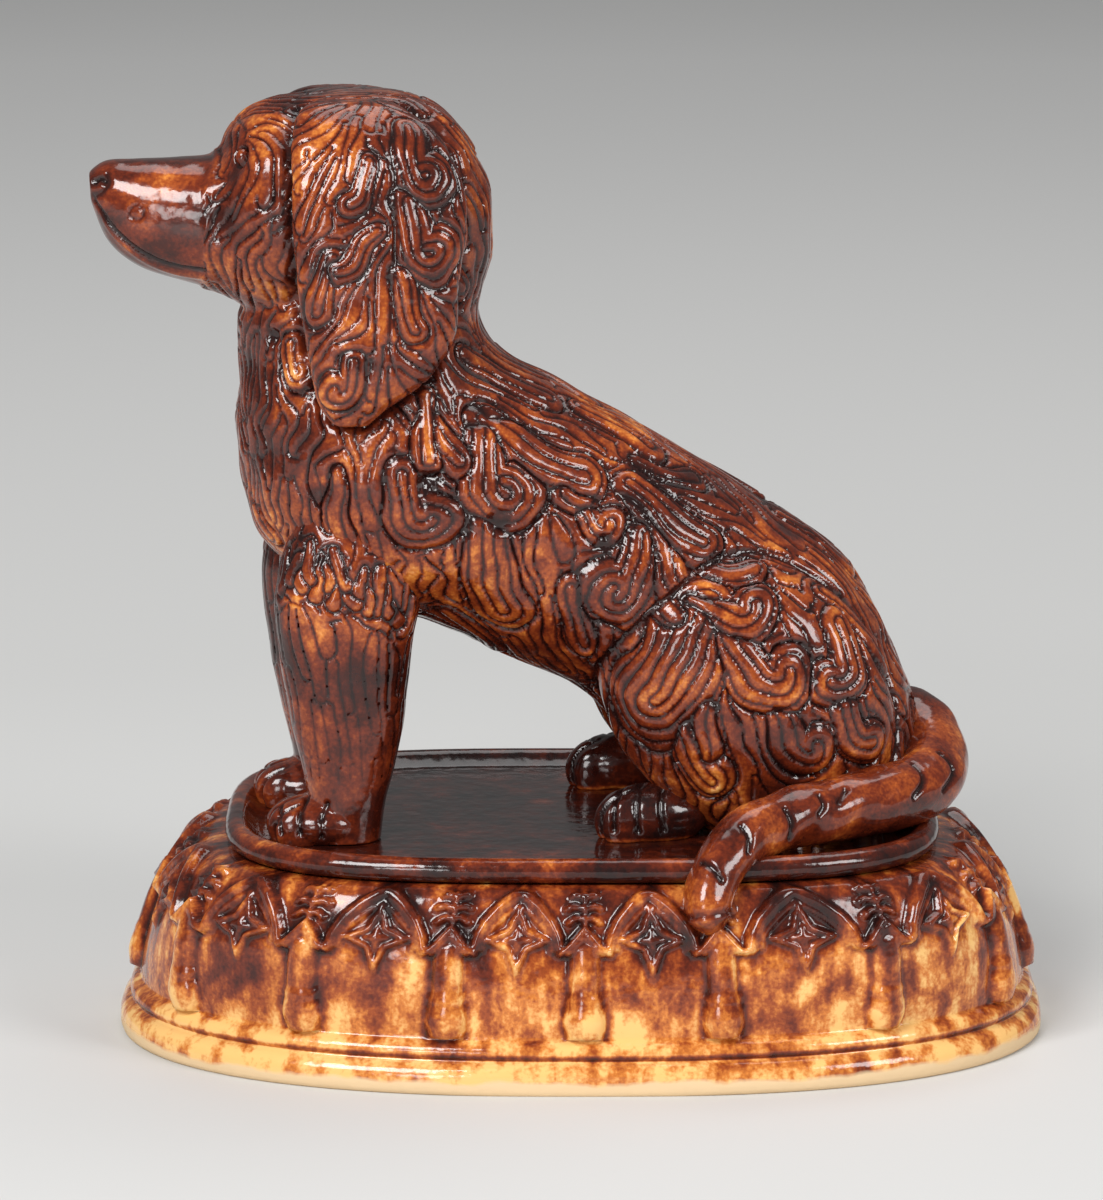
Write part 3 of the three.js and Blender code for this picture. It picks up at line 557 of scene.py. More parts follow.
class Coat:
    """The lock that lies on top at each point of a form and where in that lock the point is, with
    the furrows between the strands that lie loose."""

    def __init__(self, form, seed, way, sway=0.5):
        self.form = form
        self.cells = Cells(form.at)
        count = len(form.at)
        self.top, self.under = np.full(count, LOOSE), np.full(count, -9.0)
        self.slope, self.under_slope = np.zeros(count), np.ones(count)
        self.away = np.zeros(count)
        self.strand, self.width = np.full(count, 99.0), np.full(count, 3.0)
        self.swell = 0.35 * waves(form.at, 17, seed + 3)
        self.lock = np.zeros(count, int)
        self.locks = 0
        self.furrow, self.depth = np.full(count, 9.0), np.ones(count)
        self.foot = form.at.copy()
        self.sway = np.stack([waves(form.at, 13, seed + k) for k in range(2)], 1)
        turn = sway * (waves(form.at, 28, seed + 5) + 0.8 * waves(form.at, 13, seed + 6))[:, None]
        flow = way(form.at, form.normal)
        flow = unit(flow - form.normal * (flow * form.normal).sum(1)[:, None])
        self.fall = flow
        self.flow = flow * np.cos(turn) + np.cross(form.normal, flow) * np.sin(turn)

    def flat_round(self, centre, way, reach, where=None):
        """The points round a place, laid flat with the first axis along a way."""
        form = self.form
        near = self.cells.near(centre, reach)
        if where is not None:
            near = near[where[near]]
        if not len(near):
            return near, np.empty((0, 2)), None
        at = near[int(np.argmin(((form.at[near] - centre) ** 2).sum(1)))]
        out = form.normal[at]
        first = way - out * (way @ out)
        first /= np.linalg.norm(first)
        second = np.cross(out, first)
        near = near[form.normal[near] @ out > 0.1]
        off = form.at[near] - form.at[at]
        flat = np.stack([off @ first, off @ second], 1)
        grown = np.linalg.norm(off, axis=1) / np.maximum(np.hypot(*flat.T), 0.1)
        flat *= np.clip(grown, 1, 1.5)[:, None]
        return near, flat + 0.6 * self.sway[near], np.stack([first, second])

    # A lock's numbers: how long it is, how it bends and hooks at its tip in radians, its half width
    # and its strands' width, all lengths in mm
    def add(self, centre, way, length, bend, hook, width, strand, where=None, lift=0.0,
            swell=0.0, wave=0.0):
        """Lays one lock, where it is higher than what lies there, and bends the flow round it."""
        near, flat, axes = self.flat_round(centre, way, length * 0.75 + width + 5, where)
        if not len(near):
            return
        line = lock_line(length, bend, hook, wave)
        away, along = to_line(flat, line)
        height = LOCK_RISE * along - (away / width) ** 2 + lift
        slope = 2 * away / width ** 2 + LOCK_RISE / length
        wins = height > self.top[near]
        second = ~wins & (height > self.under[near])
        lost, won = near[second], near[wins]
        self.under[lost], self.under_slope[lost] = height[second], slope[second]
        self.under[won], self.under_slope[won] = self.top[won], self.slope[won]
        self.top[won], self.slope[won] = height[wins], slope[wins]
        self.away[won] = away[wins]
        self.strand[won], self.width[won] = strand, width
        self.locks += 1
        self.lock[won] = self.locks
        # A large lock swells, and the hair round it sinks; carve darkens that sunk band as painted
        # shade under the lock
        if swell:
            self.swell[won] = swell
            beside = (away > width) & (self.lock[near] != self.locks)
            sunk = -0.8 * swell * fading(away[beside] - width, 3.0)
            sunk *= smooth_step(along[beside], 0.3, 0.9)
            self.swell[near[beside]] = np.minimum(self.swell[near[beside]], sunk)
        shares = np.linspace(0, 1, len(line))
        off = flat - np.stack([np.interp(along, shares, line[:, k]) for k in range(2)], 1)
        beside = unit(np.stack([-off[:, 1], off[:, 0]], 1)) @ axes
        beside *= np.where((beside * self.flow[near]).sum(1) < 0, -1.0, 1.0)[:, None]
        share = 0.9 * fading(np.maximum(away - width, 0), 4.5)[:, None]
        self.flow[near] = unit(self.flow[near] * (1 - share) + beside * share)

    def comb(self, spacing, reach, seed, allowed):
        """Draws furrows down the loose hair, evenly apart. Each starts and ends on a neighbour, and
        many turn in at the foot, which closes a strand in a round tongue."""
        form = self.form
        rng = random.Random(seed)
        skin = BVHTree.FromPolygons(form.at.tolist(), form.tris.tolist())
        corner = form.tris[:, 0].tolist()
        free = allowed & (self.lock == 0)
        is_free, flow, wide = free.tolist(), self.flow.tolist(), spacing.tolist()
        drawn, lines = {}, []

        def nearest(place, away):
            x, y, z = (int(c // COMB_CELL) for c in place)
            found = None
            for dx, dy, dz in ROUND_ABOUT:
                for other in drawn.get((x + dx, y + dy, z + dz), ()):
                    if (other - place).length < away:
                        away, found = (other - place).length, other
            return found

        def walk(place, sign, length):
            line, turn, side = [], 0.0, rng.choice((-1, 1))
            while turn < TONGUE_TURN and len(line) < LONGEST:
                place, out, face, _ = skin.find_nearest(place)
                at = corner[face]
                if not is_free[at]:
                    break
                line.append(place)
                way = Vector(flow[at]) * sign
                if len(line) * COMB_STEP > length:
                    turn += COMB_STEP / (TONGUE * wide[at])
                    way = way * math.cos(turn) + out.cross(way) * (side * math.sin(turn))
                place = place + way * COMB_STEP
                other = nearest(place, (0.32 if turn else 0.5) * wide[at])
                if other is not None:
                    line.append(other)
                    break
            return line

        starts = np.random.default_rng(seed).permutation(np.nonzero(free)[0])[:COMB_STARTS]
        waiting = [Vector(place) for place in form.at[starts].tolist()][::-1]
        while waiting:
            place, out, face, _ = skin.find_nearest(waiting.pop())
            gap = wide[corner[face]]
            if not is_free[corner[face]] or nearest(place, 0.9 * gap) is not None:
                continue
            down = walk(place, 1, reach * rng.uniform(0.4, 1.5))
            line = walk(place, -1, 99)[:0:-1] + down
            if len(line) < 4:
                continue
            lines.append((line, rng.choice((0.35, 0.55, 0.75, 1.0))))
            for place in line:
                drawn.setdefault(tuple(int(c // COMB_CELL) for c in place), []).append(place)
            for k in range(len(line) - 2, 0, -3):
                across = out.cross(line[k + 1] - line[k - 1]).normalized() * gap
                waiting += [line[k] + across, line[k] - across]
        self.meet(lines, free)

    def meet(self, lines, free):
        """Finds the nearest furrow at each loose point."""
        form = self.form
        points = np.array([tuple(place) for line, _ in lines for place in line])
        line_of = np.concatenate([np.full(len(line), k) for k, (line, _) in enumerate(lines)])
        depth = np.array([depth for _, depth in lines])
        tree = tree_of(points)
        loose = np.nonzero(free)[0]
        near = np.array([tree.find(place)[1] for place in form.at[loose].tolist()])
        for shift in (-1, 1):
            other = np.clip(near + shift, 0, len(points) - 1)
            way = (points[other] - points[near]) * (line_of[other] == line_of[near])[:, None]
            off = form.at[loose] - points[near]
            part = np.clip((off * way).sum(1) / np.maximum((way * way).sum(1), 1e-9), 0, 1)
            foot = points[near] + part[:, None] * way
            away = np.linalg.norm(form.at[loose] - foot, axis=1)
            better = away < self.furrow[loose]
            self.furrow[loose[better]], self.foot[loose[better]] = away[better], foot[better]
        self.depth[loose] = depth[line_of[near]]

    def carve(self, amount=1.0):
        """How far the coat stands from the form, its grooves and its thinly glazed ridges, 0 to 1.
        Points by a groove are drawn onto its line first."""
        form = self.form
        row = np.floor(self.away / self.strand + 0.5)
        place = self.away / self.strand + 0.5
        in_lock = np.abs(place - np.round(place)) * self.strand
        loose = self.lock == 0
        in_lock = np.where(loose, self.furrow, in_lock)
        at_edge = (self.top - self.under) / (self.slope + self.under_slope + 0.05)
        gap = np.minimum(in_lock, at_edge)
        mark = self.lock * 16 + row * ~loose
        one, other = form.edges.T
        pitch = float(np.median(np.linalg.norm(form.at[one] - form.at[other], axis=1)))
        crossed = mark[one] != mark[other]
        one, other = one[crossed], other[crossed]
        part = gap[one] / np.maximum(gap[one] + gap[other], 1e-6)
        place = form.at[one] + part[:, None] * (form.at[other] - form.at[one])
        owner = np.where(part < 0.5, one, other)
        tally = np.bincount(owner, minlength=len(gap))
        moved = tally > 0
        for axis in range(3):
            total = np.bincount(owner, place[:, axis], len(gap))
            form.at[moved, axis] = total[moved] / tally[moved]
        beside = loose & ~moved & (self.furrow < 0.45 * pitch)
        form.at[beside] = self.foot[beside]
        gap = np.where(moved | beside, 0.0, gap)
        shoulder = 1 - (1 - np.clip(gap / SHOULDER, 0, 1)) ** 2
        edge = at_edge <= in_lock
        deep = np.where(edge, EDGE_DEPTH, np.where(loose, 0.3 + 0.5 * self.depth, STRAND_DEPTH))
        dome = np.clip(self.width / 9, 0, 1) * np.clip(1 - (self.away / self.width) ** 2, -0.6, 1)
        swell = form.blurred(np.clip(self.swell, -1.5, 1.5), 4)
        rise = 0.7 * dome + 0.6 * np.clip(self.top, LOOSE, 0.6) + deep * (shoulder - 1) + swell
        dark = np.where(edge, 0.95, np.where(loose, 0.35 + 0.5 * self.depth, 0.65))
        groove = fading(gap, GROOVE_HALF) * dark
        thin = shoulder * np.clip(0.55 + 0.5 * dome + 0.4 * swell, 0, 1)
        # Where the hair sinks beside a large lock, the groove value is painted shade under the lock
        groove = np.maximum(groove, np.clip(-1.1 * swell - 0.3, 0, 0.9))
        form.fold_along(groove)
        return amount * rise, groove, thin


HAIR_FALL = np.array([0.33, 0.0, -0.944])


def spread(form, gap, squeeze, seed, allowed):
    """Points scattered over a form, none nearer than the gap, and farther apart down the hair."""
    rng = np.random.default_rng(seed)
    order = rng.permutation(np.nonzero(allowed)[0])
    order = order[:int(8 * squeeze * form.area / gap ** 2) + 50]
    at = form.at[order]
    at = at - HAIR_FALL * (at @ HAIR_FALL)[:, None] * (1 - squeeze)
    cells = np.floor(at / gap).astype(int).tolist()
    taken, kept = {}, []
    for k, here, (x, y, z) in zip(order.tolist(), at.tolist(), cells):
        if not any(math.dist(here, other) < gap for dx, dy, dz in ROUND_ABOUT
                   for other in taken.get((x + dx, y + dy, z + dz), ())):
            taken.setdefault((x, y, z), []).append(here)
            kept.append(k)
    return kept


def hair_way(at, out):
    """The way the hair lies: down the sides, back along the spine and crown, and a little forward
    down the cheeks."""
    back = 0.12 + 1.7 * smooth_step(out[:, 2], 0.05, 0.8)
    cheek = (at[:, 2] > 150) & (at[:, 0] < -76)
    back = np.where(cheek, -0.25 + 1.5 * smooth_step(out[:, 2], 0.3, 0.9), back)
    return np.stack([back, np.zeros(len(at)), -np.ones(len(at))], 1)


def keep_values(mesh, values):
    """Named numbers at a mesh's points, for its material or its geometry nodes to read."""
    for key, numbers in values.items():
        attribute = mesh.attributes.new(key, "FLOAT", "POINT")
        attribute.data.foreach_set("value", np.asarray(numbers, np.float32))


def piece_mesh(name, at, tris, values=None):
    """A smooth mesh from points in mm and triangles, with its named values at the points."""
    mesh = bpy.data.meshes.new(name)
    mesh.vertices.add(len(at))
    mesh.vertices.foreach_set("co", (at * MM).astype(np.float32).ravel())
    mesh.loops.add(tris.size)
    mesh.loops.foreach_set("vertex_index", tris.astype(np.int32).ravel())
    mesh.polygons.add(len(tris))
    mesh.polygons.foreach_set("loop_start", np.arange(0, tris.size, 3, dtype=np.int32))
    mesh.update(calc_edges=True)
    mesh.validate()
    keep_values(mesh, values or {})
    mesh.shade_smooth()
    return mesh


def finish_piece(thing, slot, material, *nodes):
    """Gives a piece its material, and sets it in its solid's place."""
    thing.data.materials.clear()
    thing.data.materials.append(material)
    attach(thing, "root")
    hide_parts(*nodes)


def cut(mesh, tool, how="DIFFERENCE"):
    """A mesh with another cut out of it, or kept only inside it."""
    thing = linked("cut", mesh)
    cutter = linked("cutter", tool)
    step = thing.modifiers.new("cut", "BOOLEAN")
    step.operation = how
    step.solver = "MANIFOLD"
    step.object = cutter
    done = settled(thing)
    bpy.data.objects.remove(cutter)
    return done


def block_mesh(low, high):
    """A box between two corners."""
    points = [(x, y, z) for x in (low[0], high[0]) for y in (low[1], high[1])
              for z in (low[2], high[2])]
    faces = [(0, 1, 3, 2), (4, 6, 7, 5), (0, 4, 5, 1), (2, 3, 7, 6), (0, 2, 6, 4), (1, 5, 7, 3)]
    return raw_mesh("block", points, faces)


def surface_of(form, place=None):
    """A form as a surface for rays, in metres, with its points moved first if asked."""
    at = form.at if place is None else place(form.at)
    return BVHTree.FromPolygons((at * MM).tolist(), form.tris.tolist())


def photo_place(tree, u, v):
    """The point of a form, in the dog's frame, that shows at a pixel of the photo."""
    hit = tree.ray_cast((CAMERA_PLACE * MM).tolist(), photo_ray(u, v).tolist())[0]
    if hit is None:
        return None
    return row_to_dog(np.array([hit]) / MM)[0]


def lean_way(lean):
    """Straight down, leaned back towards the tail by an angle in degrees, in the dog's frame."""
    return np.array([math.sin(math.radians(lean)), 0.0, -math.cos(math.radians(lean))])


# Locks that show plainest: pixel across and down, lean, length, hook, width, strand
TRUNK_LOCKS = (
    (508, 494, -5, 38, 285, 7.5, 3.4), (426, 526, 8, 22, 150, 6.5, 3.2),
    (568, 472, 48, 34, 40, 6.0, 3.6), (497, 598, 2, 26, 20, 7.0, 3.6),
    (611, 600, -15, 32, -230, 7.0, 3.2), (583, 636, 5, 18, 20, 4.6, 3.0),
    (428, 452, 0, 18, 0, 3.6, 3.6), (606, 527, 20, 16, 170, 4.0, 3.0),
    (690, 536, 40, 26, 20, 6.0, 3.4), (640, 440, 58, 24, -30, 4.4, 3.4),
    (300, 372, 5, 14, 240, 4.0, 2.6),
)
THIGH_LOCKS = (
    (664, 690, -22, 30, -30, 12, 3.5), (780, 684, 25, 32, 150, 6.5, 3.5),
    (704, 770, 15, 22, 40, 5.5, 3.2), (842, 684, 10, 24, -150, 5.5, 3.2),
    (752, 616, 55, 24, 150, 5.5, 3.4), (862, 742, 15, 20, 100, 5, 3.2),
)
EAR_LOCKS = (
    (428, 178, 0, 28, 300, 5.4, 2.8), (434, 254, 10, 28, 290, 5.6, 2.8),
    (345, 268, -35, 16, -40, 3.4, 2.8), (357, 200, -10, 14, -60, 3.0, 2.8),
    (318, 304, -20, 16, 20, 3.4, 2.8), (412, 322, 10, 16, 20, 3.4, 2.8),
    (338, 394, -10, 14, -160, 3.8, 2.6),
)


def place_locks(coat, tree, rows, where=None, lift=0.35, swell=0.9, sides=(-1, 1)):
    """Sets locks where they show in the photo, and mirrored on the far side."""
    for u, v, lean, length, hook, width, strand in rows:
        place = photo_place(tree, u, v)
        if place is None:
            continue
        for side in sides:
            coat.add(place * (1, -side, 1), lean_way(lean), length, 0.0,
                     math.radians(-side * hook), width, strand, where, lift,
                     swell * min(1.0, width / 10))


def fill_locks(coat, seed, allowed, gap, width, length, strand, curly=0.2):
    """Long clumps of nested strands scattered over a form, lying as the hair does."""
    rng = np.random.default_rng(seed)
    form = coat.form
    for k in spread(form, gap, 0.6, seed, allowed):
        hook = rng.choice([-1, 1]) * rng.uniform(0, 0.7)
        if rng.uniform() < curly:
            hook = rng.choice([-1, 1]) * rng.uniform(2.0, 3.8)
        grow = rng.uniform(0.75, 1.3)
        coat.add(form.at[k], coat.fall[k], length * grow, rng.normal(0, 0.2), hook, width * grow,
                 strand * rng.uniform(0.93, 1.08), allowed, 0.0, 0.0, rng.normal(0, 0.3))


def in_thigh(points):
    """How far out points lie in the nearer thigh's egg: 1 is its surface."""
    x = points[:, 0] - THIGH_CENTRE[0]
    y = np.abs(points[:, 1]) - THIGH_CENTRE[1]
    z = points[:, 2] - THIGH_CENTRE[2]
    c, s = math.cos(THIGH_LEAN), math.sin(THIGH_LEAN)
    along, up = c * x - s * z, s * x + c * z
    return np.sqrt((along / THIGH_RADII[0]) ** 2 + (y / THIGH_RADII[1]) ** 2
                   + (up / THIGH_RADII[2]) ** 2)


# How fine the forms' skins are, in mm
BODY_VOXEL = 0.765
SMALL_VOXEL = 0.55


def photo_places(tree, pixels):
    """The points of a form that show at pixels of the photo, without those that miss it."""
    places = [photo_place(tree, u, v) for u, v in pixels]
    return np.array([place for place in places if place is not None])


def photo_line(tree, pixels):
    """A smooth line on a form through pixels of the photo, in the dog's frame."""
    return through(photo_places(tree, pixels), np.linspace(0, 1, 24))


def one_side(points):
    """Points with those of both sides brought to one."""
    return np.stack([points[:, 0], np.abs(points[:, 1]), points[:, 2]], 1)


def scored(form, line, width, both=True):
    """How deep a line drawn with a tool lies at each point, 1 on the line; alike on both sides."""
    flat = one_side(form.at) if both else form.at
    line = one_side(line) if both else line
    low, high = line.min(0) - 3 * width, line.max(0) + 3 * width
    near = np.nonzero(((flat > low) & (flat < high)).all(1))[0]
    depth = np.zeros(len(flat))
    depth[near] = fading(to_line(flat[near], line)[0], width)
    return depth


def scored_lines(form, tree, lines, width, back=None):
    """Several lines of the photo, drawn on a form: how deep they lie at each point."""
    depth = np.zeros(len(form.at))
    for pixels in lines:
        places = photo_places(tree, pixels)
        if len(places) > 1:
            line = through(places, np.linspace(0, 1, 10))
            line = back(line) if back else line
            depth = np.maximum(depth, scored(form, line, width, back is None))
    return depth


# Marks of the face and the seam down the ear, as pixels of the photo
EYE = (239, 155)
MOUTH = ((92, 200), (103, 216), (120, 237), (145, 256), (172, 267), (204, 272))
NOSTRIL = ((93, 181), (99, 177), (103, 181))
NOSE_WING = ((90, 196), (99, 193), (107, 184), (106, 174))
TOOL_RING = (136, 213)
CREST_SEAM = ((383, 124), (391, 165), (394, 199), (395, 240), (391, 300), (389, 350))


def face_marks(form, tree):
    """Eye, nostril, nose wing, mouth and the ring left by a tool on the muzzle: rise and groove."""
    mouth = scored(form, photo_line(tree, MOUTH), 0.75)
    lip = scored(form, photo_line(tree, [(u + 2, v + 7) for u, v in MOUTH[1:]]), 1.5)
    nostril = scored(form, photo_line(tree, NOSTRIL), 1.0)
    wing = scored(form, photo_line(tree, NOSE_WING), 0.9)
    eye = photo_place(tree, *EYE)
    off = form.at - eye
    off[:, 1] = np.abs(form.at[:, 1]) - abs(eye[1])
    tall = 0.94 * off[:, 2] - 0.34 * off[:, 0]
    wide = np.hypot(0.94 * off[:, 0] + 0.34 * off[:, 2], off[:, 1])
    ball = np.hypot(tall / 3.4, wide / 2.1)
    lid = fading(ball - 1.15, 0.22)
    hollow = np.exp(-(((off - (0, 0, -5.0)) ** 2).sum(1)) / 18)
    ring = fading(away_from(form.at, photo_place(tree, *TOOL_RING)) - 2.0, 0.4)
    rise = (-0.9 * mouth + 0.5 * lip - 1.3 * nostril - 0.6 * wing
            + 1.3 * np.clip(1 - ball ** 2, 0, 1) - 1.2 * lid - 0.9 * hollow - 0.35 * ring)
    groove = np.maximum.reduce([mouth, nostril, 0.7 * wing, lid, 0.4 * hollow, 0.5 * ring])
    thin = np.maximum(lip * (1 - mouth), np.clip(1.3 - ball, 0, 1))
    return rise, groove, thin, np.clip(2.2 - ball, 0, 1) + hollow


def ear_shadow(form):
    """The sunk crease in the head and neck round the ears' outline; its depth also darkens the
    colour there as painted shade under the ears.
    """
    stations = np.array(EAR)
    outline = np.vstack([stations[:, [1, 0]], stations[::-1][:, [2, 0]], stations[:1][:, [1, 0]]])
    out = np.abs(form.at[:, 1]) > 14
    depth = np.zeros(len(form.at))
    depth[out] = fading(to_line(form.at[out][:, [0, 2]], outline)[0], 2.0)
    return depth


# Pits under the largest curls, sunk and darkened with painted shade: pixel across and down, and
# reach in mm
PITS = ((430, 481, 3.6), (499, 521, 3.4), (604, 541, 2.2), (272, 336, 2.4))


def dog_body():
    """Trunk, head and thighs with the carved coat, as points and values."""
    shells = [body_loft(TRUNK, TRUNK_SQUARE, 110, 110), body_loft(HEAD, HEAD_SQUARE, 110, 100)]
    for side in (-1, 1):
        x, y, z = THIGH_CENTRE
        shells.append(egg((x, side * y, z), THIGH_RADII, THIGH_LEAN, 90, 60))
    form = clay_form("body", shells, BODY_VOXEL, 8)
    throat = fading(form.at[:, 2] - 150, 9) * smooth_step(-form.at[:, 0], 84, 94)
    form.melt(throat, 60)
    tree = surface_of(form, dog_to_row)
    egg_share = in_thigh(form.at)
    thigh = egg_share < THIGH_INSIDE
    fur_edge = 103.5 + 5 * smooth_step(197 - form.at[:, 2], 0, 14)
    muzzle = smooth_step(-form.at[:, 0] - fur_edge, -0.8, 0.8) * (form.at[:, 2] > 140)
    mark_rise, mark_groove, mark_thin, bare = face_marks(form, tree)
    hairy = muzzle < 0.5
    coat = Coat(form, 3, hair_way)
    front = (form.at[:, 0] < -78) & (form.at[:, 2] > 95)
    trunk = hairy & (egg_share > THIGH_OUTSIDE)
    place_locks(coat, tree, TRUNK_LOCKS, trunk)
    place_locks(coat, tree, THIGH_LOCKS, thigh)
    fill_locks(coat, 11, trunk & ~front, 25, 4.6, 25, 3.9)
    fill_locks(coat, 12, thigh, 24, 4.6, 22, 3.8)
    spacing = np.where(front, 3.3, 3.9)
    coat.comb(spacing, 26, 14, trunk | (hairy & thigh))
    rise, groove, thin = coat.carve()
    crease = fading(egg_share - THIGH_CREASE, 0.016) * (form.at[:, 2] > 2)
    # Round the ears' outline the groove value is painted shade where the ears overhang the head and
    # neck
    under_ear = ear_shadow(form)
    # The pits are sunk, and their groove value darkens the colour as painted shade under the
    # largest curls
    pits = np.zeros(len(form.at))
    for u, v, reach in PITS:
        pit = one_side(photo_places(tree, [(u, v)]))
        pits = np.maximum(pits, np.exp(-(away_from(one_side(form.at), pit) / reach) ** 4))
    fur = (1 - muzzle) * np.clip(1 - bare, 0, 1)
    rise = (rise + 0.7) * fur - 0.5 - 1.3 * crease - 1.4 * under_ear - 1.7 * pits + mark_rise
    groove = np.maximum.reduce([groove * fur, crease, 0.9 * under_ear, mark_groove, 0.95 * pits])
    form.at = form.at + form.normal * rise[:, None]
    return form, {"groove": groove, "thin": np.maximum(thin * fur, mark_thin)}


def nearest_values(mesh, form_at, values):
    """Values carried from a form's points to the nearest points of a mesh cut from it."""
    tree = tree_of(form_at * MM)
    found = np.array([tree.find(vertex.co)[1] for vertex in mesh.vertices])
    keep_values(mesh, {key: numbers[found] for key, numbers in values.items()})


def make_body(material):
    """Both halves of the hollow body, cut from one form."""
    form, values = dog_body()
    hollow = Clay(raw_mesh("hollow", *body_loft(TRUNK, TRUNK_SQUARE, 30, 32, BODY_WALL)))
    for hand, side in (("left", -1), ("right", 1)):
        mesh = piece_mesh("body", form.at, form.tris)
        block = block_mesh((-FAR, min(0, FAR * side), BODY_FOOT), (FAR, max(0, FAR * side), FAR))
        mesh = cut(mesh, block, "INTERSECT")
        mesh = cut(mesh, piece_mesh("hollow", hollow.at, hollow.tris))
        nearest_values(mesh, form.at, values)
        place_in_row(mesh)
        mesh.shade_smooth()
        mesh.set_sharp_from_angle(angle=math.radians(80))
        finish_piece(linked("dog_body_" + hand, mesh), "coat_glaze", material, "body_half_" + hand)


def place_in_row(mesh):
    """Moves a mesh from the dog's frame to the row's, inside the solids' box."""
    at = in_box(dog_to_row(numbers_of(mesh.vertices, "co", 3) / MM))
    mesh.vertices.foreach_set("co", (at * MM).ravel())
    mesh.update()


def make_ears(material):
    """Both ears: curls and strands outside, smooth clay on the side towards the head."""
    for hand, side in (("left", -1), ("right", 1)):
        form = clay_form("ear", [level_loft(EAR, EAR_SQUARE, 60, 70, side)], SMALL_VOXEL, 8)
        outer = form.normal[:, 1] * side > -0.3

        def feathered(at, out):
            lean = (at[:, 0] - np.interp(at[:, 2], [120, 150, 210], [-66, -58, -60])) / 20
            lean = np.radians(45 * lean)
            return np.stack([np.sin(lean), 0 * lean, -np.cos(lean)], 1)

        coat = Coat(form, 21, feathered, 0.25)
        tree = surface_of(form, lambda at: dog_to_row(at * (1, -side, 1)))
        place_locks(coat, tree, EAR_LOCKS, None, 0.3, 0.7, (side,))
        seam = scored(form, photo_line(tree, CREST_SEAM), 0.6)
        coat.comb(np.full(len(form.at), 3.1), 15, 22 + side, outer)
        rise, groove, thin = coat.carve(0.85)
        inner = ~outer
        rise = np.where(inner, -1.0, rise + 0.3) - 0.7 * seam
        groove = np.where(inner, 0.6, np.maximum(groove, 0.8 * seam))
        form.at = form.at + form.normal * form.blurred(rise, 1)[:, None]
        mesh = piece_mesh("ear", form.at, form.tris, {"groove": groove, "thin": thin})
        place_in_row(mesh)
        finish_piece(linked("dog_ear_" + hand, mesh), "coat_glaze", material, "ear_" + hand)


def paw_shells(paw, side):
    """A paw's egg and the eggs of its toes."""
    x, y, half_length, half_width, height, toes = paw
    shells = [egg((x, side * y, height * 0.4), (half_length, half_width, height * 0.6))]
    pitch = 2 * half_width * TOE_SPREAD / toes
    for toe in range(toes):
        offset = (toe - (toes - 1) / 2) * pitch
        back = (offset / half_width) ** 2 * half_length * 0.35
        centre = (x - half_length * 0.62 + back, side * y + offset, height * 0.3)
        shells.append(egg(centre, (half_length * 0.42, pitch * 0.6, height * 0.5)))
    return shells


def toe_creases(form, paw, side):
    """The grooves pressed in between the toes."""
    x, y, half_length, half_width, _, toes = paw
    pitch = 2 * half_width * TOE_SPREAD / toes
    place = (form.at[:, 1] - side * y) / pitch + toes / 2
    line = np.clip(np.round(place), 1, toes - 1)
    reach = smooth_step(x - 0.3 * half_length - form.at[:, 0], 0, 4) * (form.at[:, 2] < 16)
    return fading(np.abs(place - line) * pitch, 0.65) * reach


# Lines between the toes, as pixels of the photo
FOREPAW_LINES = (
    ((288, 790), (281, 804), (279, 822), (281, 834)), ((307, 798), (301, 812), (300, 834)),
    ((327, 804), (322, 818), (322, 838)),
)
HIND_PAW_LINES = (
    ((622, 788), (614, 806), (614, 830)), ((641, 784), (636, 806), (638, 832)),
    ((662, 790), (661, 810), (664, 832)),
)

# Short tufts that stand out round the elbow, as pixels of the photo
ELBOW_TUFTS = tuple(zip(range(272, 412, 9), (
    590, 582, 580, 578, 580, 584, 588, 590, 592, 594, 598, 602, 606, 612, 620, 630)))


def make_foreleg(hand, side, material):
    """A foreleg and its paw: tufts at the elbow, shallow strands that fade out downwards."""
    shells = [level_loft(FORELEG, FORELEG_SQUARE, 60, 60, side)] + paw_shells(FOREPAW, side)
    form = clay_form("foreleg", shells, SMALL_VOXEL, 6)
    coat = Coat(form, 31, lambda at, out: np.tile([0.04, 0.0, -1.0], (len(at), 1)), 0.1)
    mirrored = surface_of(form, lambda at: dog_to_row(at * (1, -side, 1)))
    for k, (u, v) in enumerate(ELBOW_TUFTS):
        place = photo_place(mirrored, u, v + 9 * math.sin(2.9 * k))
        if place is not None:
            coat.add(place * (1, -side, 1), lean_way(6 + 20 * math.sin(2.4 * k)),
                     9 + 3 * math.sin(1.7 * k), 0.0, 0.9 * math.sin(5 * k), 1.9, 99.0,
                     None, 0.1, 0.5)
    coat.comb(np.full(len(form.at), 3.4), 22, 32 + side, form.at[:, 2] > 18)
    rise, groove, thin = coat.carve(0.7)
    hair = 0.25 + 0.75 * smooth_step(form.at[:, 2], 15, 62)
    toes = np.maximum(toe_creases(form, FOREPAW, side),
                      scored_lines(form, mirrored, FOREPAW_LINES, 0.75))
    form.at = form.at + form.normal * (rise * hair - 1.1 * toes)[:, None]
    values = {"groove": np.maximum(groove * hair, 0.9 * toes), "thin": thin * hair}
    finish_leg(form, values, "foreleg_" + hand, "coat_glaze", material)


